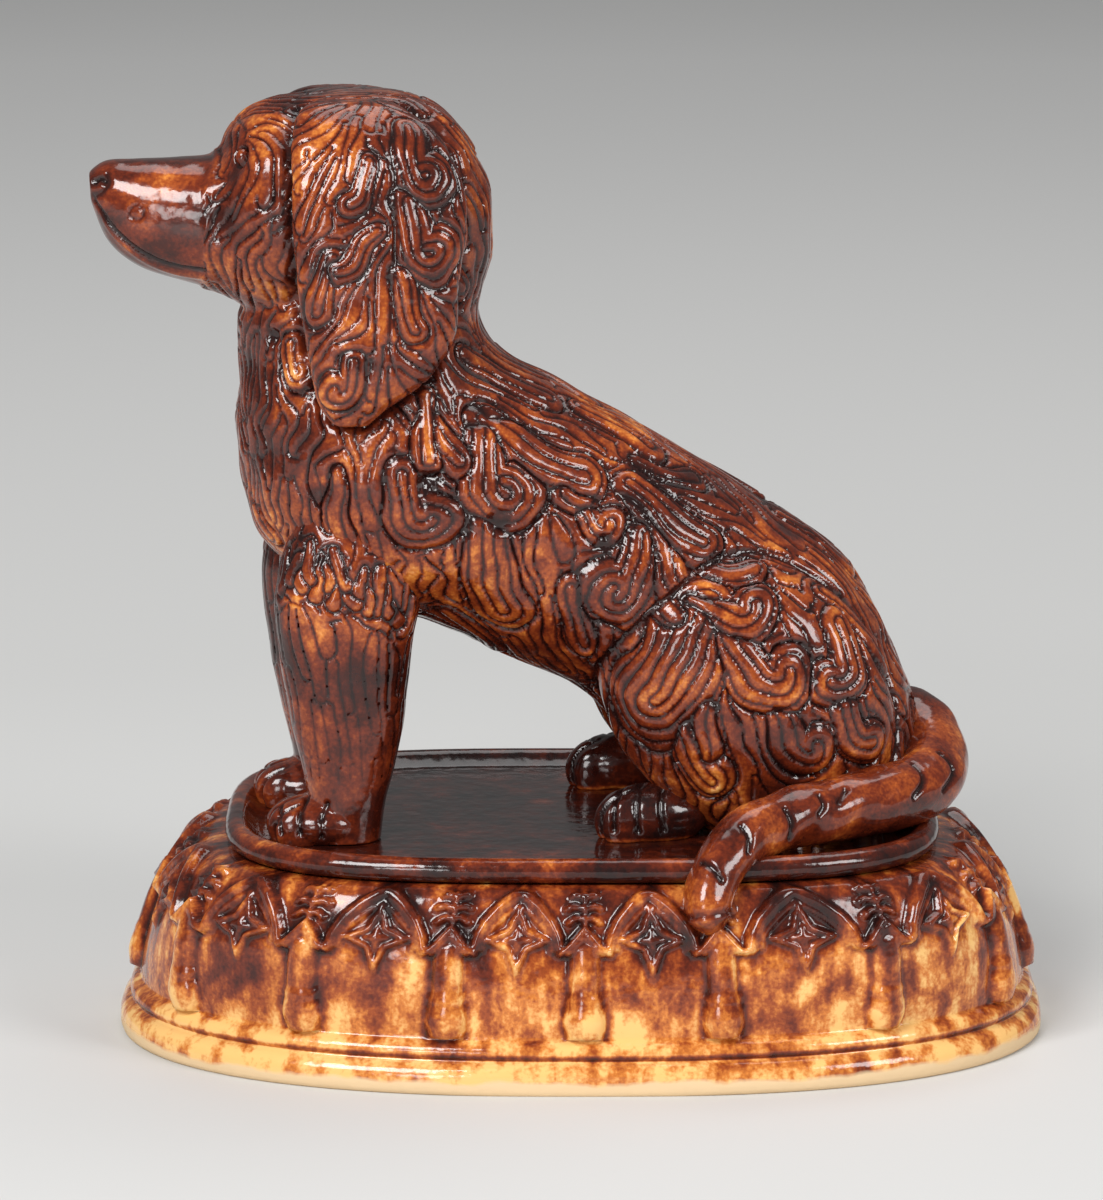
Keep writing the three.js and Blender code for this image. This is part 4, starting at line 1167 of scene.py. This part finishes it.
def make_hind_paw(hand, side, material):
    """A hind paw, with pale glaze where it meets the slab."""
    form = clay_form("hind paw", paw_shells(HIND_PAW, side), SMALL_VOXEL, 4)
    mirrored = surface_of(form, lambda at: dog_to_row(at * (1, -side, 1)))
    toes = np.maximum(toe_creases(form, HIND_PAW, side),
                      scored_lines(form, mirrored, HIND_PAW_LINES, 0.8))
    base = 1 - smooth_step(form.at[:, 2], 0.6, 1.8)
    form.at = form.at - form.normal * (1.2 * toes)[:, None]
    values = {"groove": 0.9 * toes, "thin": 2.5 * base}
    finish_leg(form, values, "hind_paw_" + hand, "dark_glaze", material)


def finish_leg(form, values, node, slot, material):
    """A leg's or paw's mesh, set on the slab's floor in the row's frame."""
    form.at[:, 2] = np.maximum(form.at[:, 2], LOWEST)
    mesh = piece_mesh(node, form.at, form.tris, values)
    place_in_row(mesh)
    finish_piece(linked("dog_" + node, mesh), slot, material, node)


def make_legs(coat_material, paw_material):
    """All four: the forelegs with their paws, and the hind paws."""
    for hand, side in (("left", -1), ("right", 1)):
        make_foreleg(hand, side, coat_material)
        make_hind_paw(hand, side, paw_material)


def tail_shell():
    """The tail's skin, rounded off at its end."""
    stations = np.array((TAIL_ROOT,) + TAIL, float)
    shares = np.linspace(0, 1, 160)
    line = through(stations, shares)
    way = np.gradient(line[:, :3], axis=0)
    way /= np.linalg.norm(way, axis=1, keepdims=True)
    side = np.cross([0, 0, 1.0], way)
    side /= np.linalg.norm(side, axis=1, keepdims=True)
    up = np.cross(way, side)
    blunt = np.minimum(1, np.sqrt((1 - shares) * TAIL_BLUNTNESS + 0.02))
    radius = (line[:, 3] * blunt)[:, None]
    middle = line[:, :3] + (PLINTH_X, 0, FLOOR_Z)
    return ring_stack(middle, radius * side, radius * up, 2, 50)


# Wrinkles across the tail, as pixels of the photo
TAIL_WRINKLES = (
    ((786, 808), (793, 824), (790, 838)), ((841, 775), (846, 790), (840, 802)),
    ((913, 762), (924, 780), (914, 797)), ((940, 752), (954, 772), (944, 790)),
    ((958, 745), (972, 765), (964, 786)), ((742, 826), (749, 838), (748, 852)),
    ((820, 796), (824, 806), (820, 814)), ((700, 862), (712, 868), (722, 880)),
)


def make_tail(material):
    """The tail, with crescent wrinkles pressed in across it and a crease behind its blunt end."""
    form = clay_form("tail", [tail_shell()], SMALL_VOXEL, 4)
    groove = scored_lines(form, surface_of(form), TAIL_WRINKLES, 0.9, dog_to_row)
    from_end = away_from(form.at, np.array(TAIL[-1][:3], float) + (PLINTH_X, 0, FLOOR_Z))
    groove = np.maximum(groove, 0.6 * fading(from_end - 9.0, 0.7))
    soft = 0.3 * waves(form.at, 14, 61)
    form.at = form.at + form.normal * (soft - 0.9 * groove)[:, None]
    thin = np.clip(0.35 + soft + 0.5 * fading(from_end - 3, 3.5), 0, 1)
    values = {"groove": 0.85 * groove, "thin": thin * (1 - groove)}
    mesh = piece_mesh("tail", in_box(form.at), form.tris, values)
    finish_piece(linked("dog_tail", mesh), "coat_glaze", material, "tail")


# Node trees

def add(tree, kind, inputs=(), **settings):
    """A node with its settings, and its inputs set or linked by name or number."""
    node = tree.nodes.new(kind)
    for key, value in settings.items():
        setattr(node, key, value)
    for key, value in dict(inputs).items():
        if isinstance(value, bpy.types.NodeSocket):
            tree.links.new(value, node.inputs[key])
        else:
            node.inputs[key].default_value = value
    return node


def sums(tree, first, *terms):
    """first plus each value times its weight."""
    total = first
    for value, weight in terms:
        total = add(tree, "ShaderNodeMath", {0: value, 1: weight, 2: total},
                    operation="MULTIPLY_ADD").outputs[0]
    return total


def socket(tree, name, kind, side, value=None):
    """A node group's input or output, with its value where it has one."""
    made = tree.interface.new_socket(name, in_out=side, socket_type="NodeSocket" + kind)
    if value is not None:
        made.default_value = value
    return made


# Plinth and slab

def plan_reach(angle, half, squareness):
    """How far an oval of rounded squareness reaches at an angle."""
    along = np.abs(np.cos(angle) / half[0]) ** squareness
    across = np.abs(np.sin(angle) / half[1]) ** squareness
    return (along + across) ** (-1 / squareness)


def wall_reach(angle, height, inset=0.0):
    """How far the plinth's bulging wall reaches at an angle and a height."""
    share = np.clip((height - BEAD_TOP) / WALL_HIGH, 0, 1)
    drawn = 1 - np.sqrt(1 - share ** WALL_BULGE)
    base = FOOT_ROLL + BEAD_STEP + inset
    half = [FOOT_HALF[k] - base - WALL_SLOPE[k] * drawn for k in range(2)]
    return plan_reach(angle, half, FOOT_SQUARE + (CROWN_SQUARE - FOOT_SQUARE) * share)


def plan_points(angle, reach, height):
    """Points at angles round the plinth's middle."""
    level = np.broadcast_to(height, angle.shape)
    return np.stack([reach * np.cos(angle), reach * np.sin(angle), level], -1)


def oval_ring(angle, half, squareness, inset, height):
    """A level ring round an oval, at an inset from its edge."""
    return plan_points(angle, plan_reach(angle, [h - inset for h in half], squareness), height)


def wall_ring(angle, height, inset=0.0):
    """A level ring round the wall, at an inset from its outside."""
    return plan_points(angle, wall_reach(angle, height, inset), height)


def wall_walk():
    """Angles and distances round the wall where the arches spring, from the left end."""
    angle = math.pi + np.linspace(0, 2 * math.pi, 2881)
    line = wall_ring(angle, BEAD_TOP + SPRING)
    walk = np.concatenate([[0], np.cumsum(np.linalg.norm(np.diff(line, axis=0), axis=1))])
    return angle, walk


WALK_ANGLE, WALK = wall_walk()


def round_angles(count):
    """Angles that lie evenly apart along the wall."""
    return np.interp(np.arange(count) * WALK[-1] / count, WALK, WALK_ANGLE)


def closed_band(rings):
    """A skin through rings where the last joins the first again."""
    count, sides, _ = rings.shape
    ring, side = np.meshgrid(np.arange(count), np.arange(sides), indexing="ij")
    low = (ring * sides + side).ravel()
    beside = (ring * sides + (side + 1) % sides).ravel()
    above = (((ring + 1) % count) * sides + side).ravel()
    across = (((ring + 1) % count) * sides + (side + 1) % sides).ravel()
    tris = np.concatenate([np.stack([low, beside, across], 1), np.stack([low, across, above], 1)])
    return rings.reshape(-1, 3), tris


# The arcade's mouldings, drawn flat on tiles: across the bay, up the wall and out from it

def from_strokes(x, y, lines, half, high):
    """Rounded raised strokes along lines, mirrored left and right of the tile's middle."""
    flat = np.stack([np.abs(x).ravel(), y.ravel()], 1)
    out = np.zeros(len(flat))
    for line in lines:
        away, _ = to_line(flat, np.array(line, float))
        out = np.maximum(out, high * np.sqrt(np.clip(1 - (away / half) ** 2, 0, 1)))
    return out.reshape(x.shape)


ARCH_BAY = 42.6
ARCH_OUTER = ((13.6, -1.0), (12.7, 2.4), (10.4, 6.2), (6.0, 10.2), (0, 13.6))
ARCH_INNER = ((11.0, -1.0), (10.3, 1.8), (8.1, 4.8), (4.4, 8.0), (0, 10.7))
GABLET = ((7.0, 23.8), (5.7, 24.6), (0, 30.8))
GABLET_INNER = ((5.0, 23.6), (4.2, 24.2), (0, 28.8))
FERN_STEM = ((0, 30.8), (0, 40.6))
FERN_LOBES = (((0, 33.0), (2.3, 33.3), (4.5, 32.0)), ((0, 35.3), (2.7, 36.3), (5.1, 35.5)),
              ((0, 37.7), (1.9, 39.0), (3.6, 39.0)))
BALUSTER = ((-0.5, 5.2), (0.6, 5.2), (1.0, 4.7), (2.2, 5.3), (5.0, 5.9), (8.4, 5.3), (10.2, 4.5),
            (10.6, 5.1), (11.4, 5.1), (11.9, 4.4), (13.5, 4.2), (25.6, 4.2))
STAR_REACH = 10.3
STAR_WAIST = 4.1
STAR_RISE = 1.5
COLUMN, ARCH, STAR = range(3)
TILE_DEPTH = 1.3
# How far the flat layout runs on past its two ends
PAST_ENDS = 60


def arch_height(x, y):
    """A pointed arch with a finer moulding inside it."""
    return np.maximum(from_strokes(x, y, [ARCH_OUTER], 1.9, 2.1),
                      from_strokes(x, y, [ARCH_INNER], 0.85, 1.2))


def column_height(x, y):
    """A turned column under a gablet, with a leaf sprig over it."""
    radius = np.interp(y, [h for h, _ in BALUSTER], [r for _, r in BALUSTER])
    shaft = 0.6 * np.sqrt(np.clip(radius ** 2 - x ** 2, 0, None)) * (y < 26) * (y > -0.3)
    gable = (y > 24.4) & (np.abs(x) < (30.6 - y) * 0.9)
    strokes = (([GABLET], 0.8, 3.1), ([GABLET_INNER], 0.6, 2.8), ([FERN_STEM], 0.7, 1.7),
               (FERN_LOBES, 0.85, 1.6))
    return np.max([shaft, 2.1 * gable] + [from_strokes(x, y, *one) for one in strokes], axis=0)


def star_height(x, y):
    """A four-pointed star inside a raised border, its middle ridged along each ray."""
    ax, ay = np.abs(x), np.abs(y)
    low, high = np.minimum(ax, ay), np.maximum(ax, ay)
    waist = STAR_WAIST / math.sqrt(2)
    edge = np.array([STAR_REACH - waist, -waist])
    length = np.linalg.norm(edge)
    out = ((high - waist) * -edge[1] + (low - waist) * edge[0]) / length
    out = np.where(high > STAR_REACH, np.hypot(high - STAR_REACH, low), out)
    border = 1.7 * np.sqrt(np.clip(1 - ((out + 0.75) / 0.85) ** 2, 0, 1))
    inside = np.clip((-out - 1.9) / 0.5, 0, 1)
    ridge = 0.9 + 0.9 * np.clip(1 - low / 1.6, 0, 1) * np.clip(1 - high / STAR_REACH, 0, 1)
    field = 0.45 * (out < -0.75)
    return np.maximum.reduce([border, inside * ridge, field])


def tile(name, height, half, low, high, step=0.4):
    """A flat grid raised by one of the mouldings; elsewhere it dips under the wall."""
    xs = np.arange(-half, half + step, step)
    ys = np.arange(low, high + step, step)
    x, y = np.meshgrid(xs, ys, indexing="ij")
    z = height(x, y)
    z = np.where(z > 0, z, -1.0)
    points = np.stack([x, y, z], -1).reshape(-1, 3)
    i, j = np.meshgrid(np.arange(len(xs) - 1), np.arange(len(ys) - 1), indexing="ij")
    at = (i * len(ys) + j).ravel()
    faces = np.stack([at, at + len(ys), at + len(ys) + 1, at + 1], 1).tolist()
    return linked(name, raw_mesh(name, points, faces))


def layout_tree(material):
    """Geometry nodes that set each kind of tile on its own points, stretched to the bay."""
    tree = bpy.data.node_groups.new("arcade layout", "GeometryNodeTree")
    socket(tree, "points", "Geometry", "INPUT")
    socket(tree, "laid out", "Geometry", "OUTPUT")
    names = ("column", "arch", "star")
    tiles = [socket(tree, name, "Object", "INPUT") for name in names]
    socket(tree, "depth", "Float", "INPUT", TILE_DEPTH)
    given, end = tree.nodes.new("NodeGroupInput").outputs, tree.nodes.new("NodeGroupOutput")
    kind, stretch = (
        add(tree, "GeometryNodeInputNamedAttribute", {"Name": name}).outputs["Attribute"]
        for name in ("kind", "stretch"))
    scale = add(tree, "ShaderNodeCombineXYZ", {"X": stretch, "Y": 1.0, "Z": given["depth"]})
    join = add(tree, "GeometryNodeJoinGeometry")
    for number, name in enumerate(names):
        one_tile = add(tree, "GeometryNodeObjectInfo", {"Object": given[name]})
        same = add(tree, "FunctionNodeCompare", {"A": kind, "B": number, "Epsilon": 0.1},
                   operation="EQUAL")
        place = add(tree, "GeometryNodeInstanceOnPoints", {
            "Points": given["points"], "Selection": same.outputs["Result"],
            "Instance": one_tile.outputs["Geometry"], "Scale": scale.outputs["Vector"]})
        tree.links.new(place.outputs["Instances"], join.inputs["Geometry"])
    real = add(tree, "GeometryNodeRealizeInstances", {"Geometry": join.outputs["Geometry"]})
    clad = add(tree, "GeometryNodeSetMaterial", {"Geometry": real.outputs["Geometry"],
                                                 "Material": material})
    tree.links.new(clad.outputs["Geometry"], end.inputs["laid out"])
    return tree, tiles


def arcade_flat(material):
    """The whole arcade laid out flat, as a surface to take heights from."""
    total = 2 * sum(BAYS)
    places, kinds, stretches = [], [], []
    along = 0.0
    for bay in BAYS + BAYS:
        width = bay * WALK[-1] / total
        for wrap in (-WALK[-1], 0.0, WALK[-1]):
            middle = along + width / 2
            for kind, x, y in ((COLUMN, along, 0.0), (ARCH, middle, SPRING),
                               (STAR, middle, SPRING + STAR_RISE)):
                if -PAST_ENDS < x + wrap < WALK[-1] + PAST_ENDS:
                    places.append((x + wrap, y, 0.0))
                    kinds.append(kind)
                    stretches.append(width / ARCH_BAY if kind == ARCH else 1.0)
        along += width
    mesh = raw_mesh("arcade", places, [])
    keep_values(mesh, {"kind": kinds, "stretch": stretches})
    tree, sockets = layout_tree(material)
    tiles = (tile("column tile", column_height, 8.0, -0.8, 42.0),
             tile("arch tile", arch_height, 16.0, -3.0, 16.0),
             tile("star tile", star_height, 11.2, -11.2, 11.2))
    thing = linked("arcade", mesh)
    layout = thing.modifiers.new("layout", "NODES")
    layout.node_group = tree
    for socket, one in zip(sockets, tiles):
        layout[socket.identifier] = one
    flat = Clay(settled(thing))
    for one in tiles:
        bpy.data.objects.remove(one)
    return BVHTree.FromPolygons(flat.at.tolist(), flat.tris.tolist())


def grid_blur(grid, rounds):
    """A grid softened, wrapping round its second axis."""
    for _ in range(rounds):
        grid = (2 * grid + np.roll(grid, 1, 1) + np.roll(grid, -1, 1)) / 4
        padded = np.vstack([grid[:1], grid, grid[-1:]])
        grid = (2 * grid + padded[:-2] + padded[2:]) / 4
    return grid


def relief_heights(material, ups, around):
    """How far the arcade stands out on a grid: rows up the wall, columns round it."""
    tree = arcade_flat(material)
    walks = np.arange(around) * WALK[-1] / around
    height = np.zeros((len(ups), around))
    for j, up in enumerate(ups.tolist()):
        for i, along in enumerate(walks.tolist()):
            hit = tree.ray_cast((along, up, 20.0), (0.0, 0.0, -1.0))[0]
            if hit is not None and hit[2] > 0:
                height[j, i] = hit[2]
    return height


def make_plinth(material):
    """The foot band, the wall with its arcade and the hollow under it, as one skin."""
    around, rows = ((1110, 66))
    angle = round_angles(around)
    rings = [oval_ring(angle, FOOT_HALF, FOOT_SQUARE, inset, z) for z, inset in FOOT_OUTLINE]
    ups = WALL_HIGH * np.concatenate([np.linspace(0, 0.5, rows // 3, endpoint=False),
                                      np.linspace(0.5, 1, rows - rows // 3)])
    height = grid_blur(relief_heights(material, ups, around), 1)
    wall = np.array([wall_ring(angle, BEAD_TOP + up) for up in ups])
    round_way = np.roll(wall, -1, 1) - np.roll(wall, 1, 1)
    out = np.cross(round_way, np.gradient(wall, axis=0))
    out /= np.linalg.norm(out, axis=2, keepdims=True)
    fade = smooth_step(ups, 0.0, 0.8) * (1 - smooth_step(ups, WALL_HIGH - 2.4, WALL_HIGH - 0.4))
    wall = wall + out * (height * fade[:, None])[:, :, None]
    foot = np.zeros((len(rings), around))
    upper = smooth_step(ups, 21, 27)[:, None]
    raised = np.clip(height / 1.2, 0, 1)
    ridge = np.clip((height - grid_blur(height, 6)) * 0.9, 0, 1)
    thin = np.vstack([foot, ridge * (1.4 - 0.9 * upper)])
    # Darker glaze: pooled beside the relief, on the raised mouldings of the upper wall, and growing
    # darker towards the crown
    beside = np.clip((grid_blur(height, 8) - height) * 1.1, 0, 1)
    crown = 0.24 * smooth_step(ups, 22, 38)[:, None]
    foot[FOOT_GROOVE_RINGS] = 0.75
    darker_glaze = np.vstack([foot, np.clip(beside + 0.2 * raised * upper + crown, 0, 1.1)])
    rings += list(wall)
    for share in (1.0, 0.97, 0.9, 0.8, 0.6, 0.3, 0.0):
        z = BEAD_TOP + WALL_HIGH * share
        rings.append(wall_ring(angle, z, WALL_THICK))
    rings.append(wall_ring(angle, 0.0, WALL_THICK))
    at, tris = closed_band(np.array(rings))
    at[:, 0] += PLINTH_X
    rest = np.zeros((len(rings) - len(thin)) * around)
    values = {"groove": np.concatenate([darker_glaze.ravel(), rest]),
              "thin": np.concatenate([thin.ravel(), rest])}
    mesh = piece_mesh("plinth", in_box(at), tris, values)
    finish_piece(linked("plinth_wall", mesh), "mottled_glaze", material, "plinth")


def make_slab(material):
    """The slab: its plug in the plinth's mouth, the rolled rim and the floor, with thin glaze on
    the rim and in streaks round the paws."""
    angle = round_angles(500)
    mouth = wall_reach(angle, CROWN_Z, SLAB_MOUTH)
    rings = [plan_points(angle, mouth, z) for z in (FLOOR_Z - 7, CROWN_Z + SEAT_GAP)]
    outline = [(RIM_RADIUS * (1 - math.cos(bend)), RIM_Z + RIM_RADIUS * math.sin(bend))
               for bend in map(math.radians, range(-90, 150, 12))]
    outline += [(8.4, FLOOR_Z + 0.5)] + [(inset, FLOOR_Z) for inset in (10, 20, 40, 60)]
    rings += [oval_ring(angle, SLAB_HALF, SLAB_SQUARE, inset, z) for inset, z in outline]
    points, faces = shell(np.array(rings))
    points[:, 0] += PLINTH_X
    form = Clay(raw_mesh("slab", points, faces))
    up = form.at[:, 2] - FLOOR_Z
    off = row_to_dog(form.at)
    paw = np.hypot((off[:, 0] - 12) / 26, (np.abs(off[:, 1]) - 34) / 15)
    fore = np.hypot((off[:, 0] + 76) / 24, (np.abs(off[:, 1]) - 24) / 22)
    streaks = np.clip(waves(form.at * (0.45, 1, 1), 11, 71) - 0.1, 0, 1)
    near = np.clip(1.7 - np.minimum(paw, fore + 0.5), 0, 1)
    thin = 1.5 * smooth_step(up, 1.5, 4.5) + streaks * near * 2.4
    mesh = piece_mesh("slab", form.at, form.tris, {"groove": np.zeros(len(up)), "thin": thin})
    finish_piece(linked("platform", mesh), "dark_glaze", material, "platform_slab")


# Glaze and light

def noise(tree, place, scale, detail, **more):
    """Soft noise of a scale in waves per metre."""
    inputs = {"Vector": place, "Scale": scale, "Detail": detail, **more}
    return add(tree, "ShaderNodeTexNoise", inputs).outputs[0]


def own_place(tree):
    """The point's place in its own piece."""
    return add(tree, "ShaderNodeTexCoord").outputs["Object"]


def worked(tree, value, other, operation):
    """One value worked with another, as the operation's name says."""
    return add(tree, "ShaderNodeMath", {0: value, 1: other}, operation=operation).outputs[0]


def mixed(tree, share, one, other):
    """Two colours mixed; 6 and 7 are the numbers of the node's colour inputs."""
    return add(tree, "ShaderNodeMix", {0: share, 6: one, 7: other}, data_type="RGBA").outputs[2]


def rising(tree, value, low, high):
    """0 up to low and 1 from high on, or the other way round where high is the smaller."""
    return add(tree, "ShaderNodeMapRange", {0: value, 1: low, 2: high, 3: 0.0, 4: 1.0}).outputs[0]


def new_material(name):
    """A node material, its tree and the inputs of its shader."""
    material = bpy.data.materials.new(name)
    material.use_nodes = True
    return material, material.node_tree, material.node_tree.nodes["Principled BSDF"].inputs


def roughen(tree, shader, strength, distance, height):
    """Small bumps in a surface, from a height."""
    bump = add(tree, "ShaderNodeBump", {"Strength": strength, "Distance": distance,
                                        "Height": height})
    tree.links.new(bump.outputs[0], shader["Normal"])


# The glaze's colour from thin to thick
GLAZE_COLOURS = (
    (0.0, (0.86, 0.50, 0.17)), (0.2, (0.60, 0.19, 0.034)), (0.36, (0.31, 0.062, 0.012)),
    (0.52, (0.145, 0.021, 0.0065)), (0.72, (0.052, 0.008, 0.004)), (1.0, (0.014, 0.0045, 0.004)),
)
BARE_CLAY = (0.72, 0.52, 0.30, 1)
GLAZE_IOR = 1.52
# The foot band's streaks are noise drawn out upwards: this share of the height counts
STREAK_DRAWN = 0.22


def glaze_group():
    """Brown lead glaze: dark where it pools in grooves and where the groove value carries painted
    shade, red to amber where it thins on ridges.
    """
    tree = bpy.data.node_groups.new("brown glaze", "ShaderNodeTree")
    for name, value in (("groove", 0.0), ("thin", 0.0), ("depth", 0.5), ("patch", 36.0),
                        ("spot", 190.0), ("patchy", 1.0), ("spotty", 0.8)):
        socket(tree, name, "Float", "INPUT", value)
    for name, kind in (("colour", "Color"), ("roughness", "Float"), ("height", "Float")):
        socket(tree, name, kind, "OUTPUT")
    given = tree.nodes.new("NodeGroupInput").outputs
    place = own_place(tree)
    patches = noise(tree, place, given["patch"], 3.0, Roughness=0.55, Distortion=0.7)
    spots = noise(tree, place, given["spot"], 4.0, Roughness=0.6, Distortion=0.3)
    specks = noise(tree, place, 950.0, 2.0)
    swell = noise(tree, place, 260.0, 1.0)
    wide, fine, grain = (worked(tree, one, 0.5, "SUBTRACT") for one in (patches, spots, specks))
    wide = worked(tree, wide, given["patchy"], "MULTIPLY")
    fine = worked(tree, fine, given["spotty"], "MULTIPLY")
    depth = sums(tree, given["depth"], (wide, 1.0), (fine, 1.0), (grain, 0.35),
                 (given["groove"], 0.5), (given["thin"], -0.16))
    ramp = add(tree, "ShaderNodeValToRGB", {"Fac": depth})
    bar = ramp.color_ramp
    for number, (at, colour) in enumerate(GLAZE_COLOURS):
        stop = bar.elements[number] if number < 2 else bar.elements.new(at)
        stop.position, stop.color = at, (*colour, 1)
    out = tree.nodes.new("NodeGroupOutput").inputs
    tree.links.new(ramp.outputs[0], out["colour"])
    tree.links.new(sums(tree, 0.06, (spots, 0.14)), out["roughness"])
    tree.links.new(sums(tree, 0.0, (swell, 1.0), (specks, 0.12)), out["height"])
    return tree


def new_glaze(name, group, bare_below=0.0, paler_below=0.0, **amounts):
    """A glaze of the shared group. Below one height, in metres, it runs thin in streaks, and below
    a lower one the clay is bare."""
    material, tree, shader = new_material(name)
    shader["IOR"].default_value = GLAZE_IOR
    glaze = add(tree, "ShaderNodeGroup", amounts, node_tree=group)
    for key in ("groove", "thin"):
        own = add(tree, "ShaderNodeAttribute", attribute_name=key).outputs["Fac"]
        tree.links.new(own, glaze.inputs[key])
    colour, rough = glaze.outputs["colour"], glaze.outputs["roughness"]
    if bare_below:
        place = own_place(tree)
        height = add(tree, "ShaderNodeSeparateXYZ", {0: place}).outputs["Z"]
        line = sums(tree, height, (noise(tree, place, 60.0, 4.0), -0.006))
        low = rising(tree, line, paler_below, 0.002)
        drawn_out = add(tree, "ShaderNodeVectorMath", {0: place, 1: (1.0, 1.0, STREAK_DRAWN)},
                        operation="MULTIPLY").outputs[0]
        runs = worked(tree, noise(tree, drawn_out, 150.0, 3.0), 0.5, "SUBTRACT")
        tree.links.new(sums(tree, amounts["depth"], (low, -0.24), (runs, 1.15)),
                       glaze.inputs["depth"])
        bare = rising(tree, line, bare_below - 0.003, bare_below - 0.0042)
        colour = mixed(tree, bare, colour, BARE_CLAY)
        rough = sums(tree, rough, (bare, 0.6))
    tree.links.new(colour, shader["Base Color"])
    tree.links.new(rough, shader["Roughness"])
    roughen(tree, shader, strength=0.35, distance=0.0005, height=glaze.outputs["height"])
    return material


def new_bare_clay():
    """Unglazed buff clay, speckled and matt, for the roll along the inside of the seam."""
    material, tree, shader = new_material("bare clay")
    place = own_place(tree)
    grain, tint = noise(tree, place, 420.0, 4.0), noise(tree, place, 45.0, 2.0)
    share = sums(tree, -0.3, (grain, 0.9), (tint, 0.7))
    tree.links.new(mixed(tree, share, (0.70, 0.50, 0.29, 1), (0.52, 0.33, 0.17, 1)),
                   shader["Base Color"])
    shader["Roughness"].default_value = 0.85
    roughen(tree, shader, strength=0.4, distance=0.0003, height=grain)
    return material


def clad_seam_coil(material):
    """Lends the seam coil's solid a material through a slot of the object; its shape stays."""
    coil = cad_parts["seam_coil"]
    if not coil.material_slots:
        coil.data.materials.append(None)
    for slot in coil.material_slots:
        slot.link = "OBJECT"
        slot.material = material


FLOOR_HALF = 15000
# Where the floor starts and ends to turn paler, in metres from the middle
PALER_FROM, PALER_TO = 0.5, 2.4
# Lamps: name, place and size in metres, watts
LAMPS = (
    ("key light", (-1.0, -1.6, 1.6), 1.0, 50.0),
    ("low light", (-0.55, -1.75, 0.42), 0.42, 5.0),
    ("side light", (1.5, -1.2, 1.1), 0.8, 22.0),
    ("top light", (0.2, 0.6, 1.9), 1.2, 12.0),
)


def shine(name, place, size, power):
    """A square lamp turned to the figure's middle."""
    data = bpy.data.lights.new(name, "AREA")
    data.energy = power
    data.size = size
    lamp = bpy.data.objects.new(name, data)
    lamp.location = place
    way = np.array((0.0, 0.0, 0.12)) - np.array(place)
    tilt = math.pi / 2 + math.atan2(way[2], math.hypot(way[0], way[1]))
    lamp.rotation_euler = (tilt, 0, math.atan2(way[1], way[0]) - math.pi / 2)
    bpy.context.collection.objects.link(lamp)


def set_stage():
    """A wide pale floor, paler far off so that it looks even, and soft boxes round the figure."""
    corners = [(FLOOR_HALF * x, FLOOR_HALF * y, 0) for x, y in ((-1, -1), (1, -1), (1, 1), (-1, 1))]
    floor = linked("floor", raw_mesh("floor", corners, [(0, 1, 2, 3)]))
    material, tree, shader = new_material("pale floor")
    shader["Roughness"].default_value = 0.9
    away = add(tree, "ShaderNodeVectorMath", {0: own_place(tree)}, operation="LENGTH")
    far = rising(tree, away.outputs["Value"], PALER_FROM, PALER_TO)
    tree.links.new(mixed(tree, far, (0.62, 0.62, 0.61, 1), (0.97, 0.97, 0.96, 1)),
                   shader["Base Color"])
    floor.data.materials.append(material)
    for name, place, size, power in LAMPS:
        shine(name, place, size, power)
    world = bpy.context.scene.world or bpy.data.worlds.new("studio")
    bpy.context.scene.world = world
    world.use_nodes = True
    ground = world.node_tree.nodes["Background"]
    ground.inputs["Color"].default_value = (0.8, 0.8, 0.8, 1)
    ground.inputs["Strength"].default_value = 0.25
    bpy.context.scene.view_settings.view_transform = "Standard"


set_camera()
set_stage()
brown_glaze = glaze_group()
coat_glaze = new_glaze("coat glaze", brown_glaze, depth=0.58, patchy=1.35, spotty=0.55)
leg_glaze = new_glaze("leg glaze", brown_glaze, depth=0.67, patchy=1.45, spotty=0.65)
dark_glaze = new_glaze("dark glaze", brown_glaze, depth=0.84, patchy=1.1, spotty=0.9)
plinth_glaze = new_glaze("mottled glaze", brown_glaze, bare_below=0.0045, paler_below=0.026,
                         depth=0.33, patch=50.0, spot=120.0, patchy=1.0, spotty=0.9)
make_body(coat_glaze)
make_ears(coat_glaze)
make_legs(leg_glaze, dark_glaze)
make_tail(coat_glaze)
make_plinth(plinth_glaze)
make_slab(dark_glaze)
clad_seam_coil(new_bare_clay())
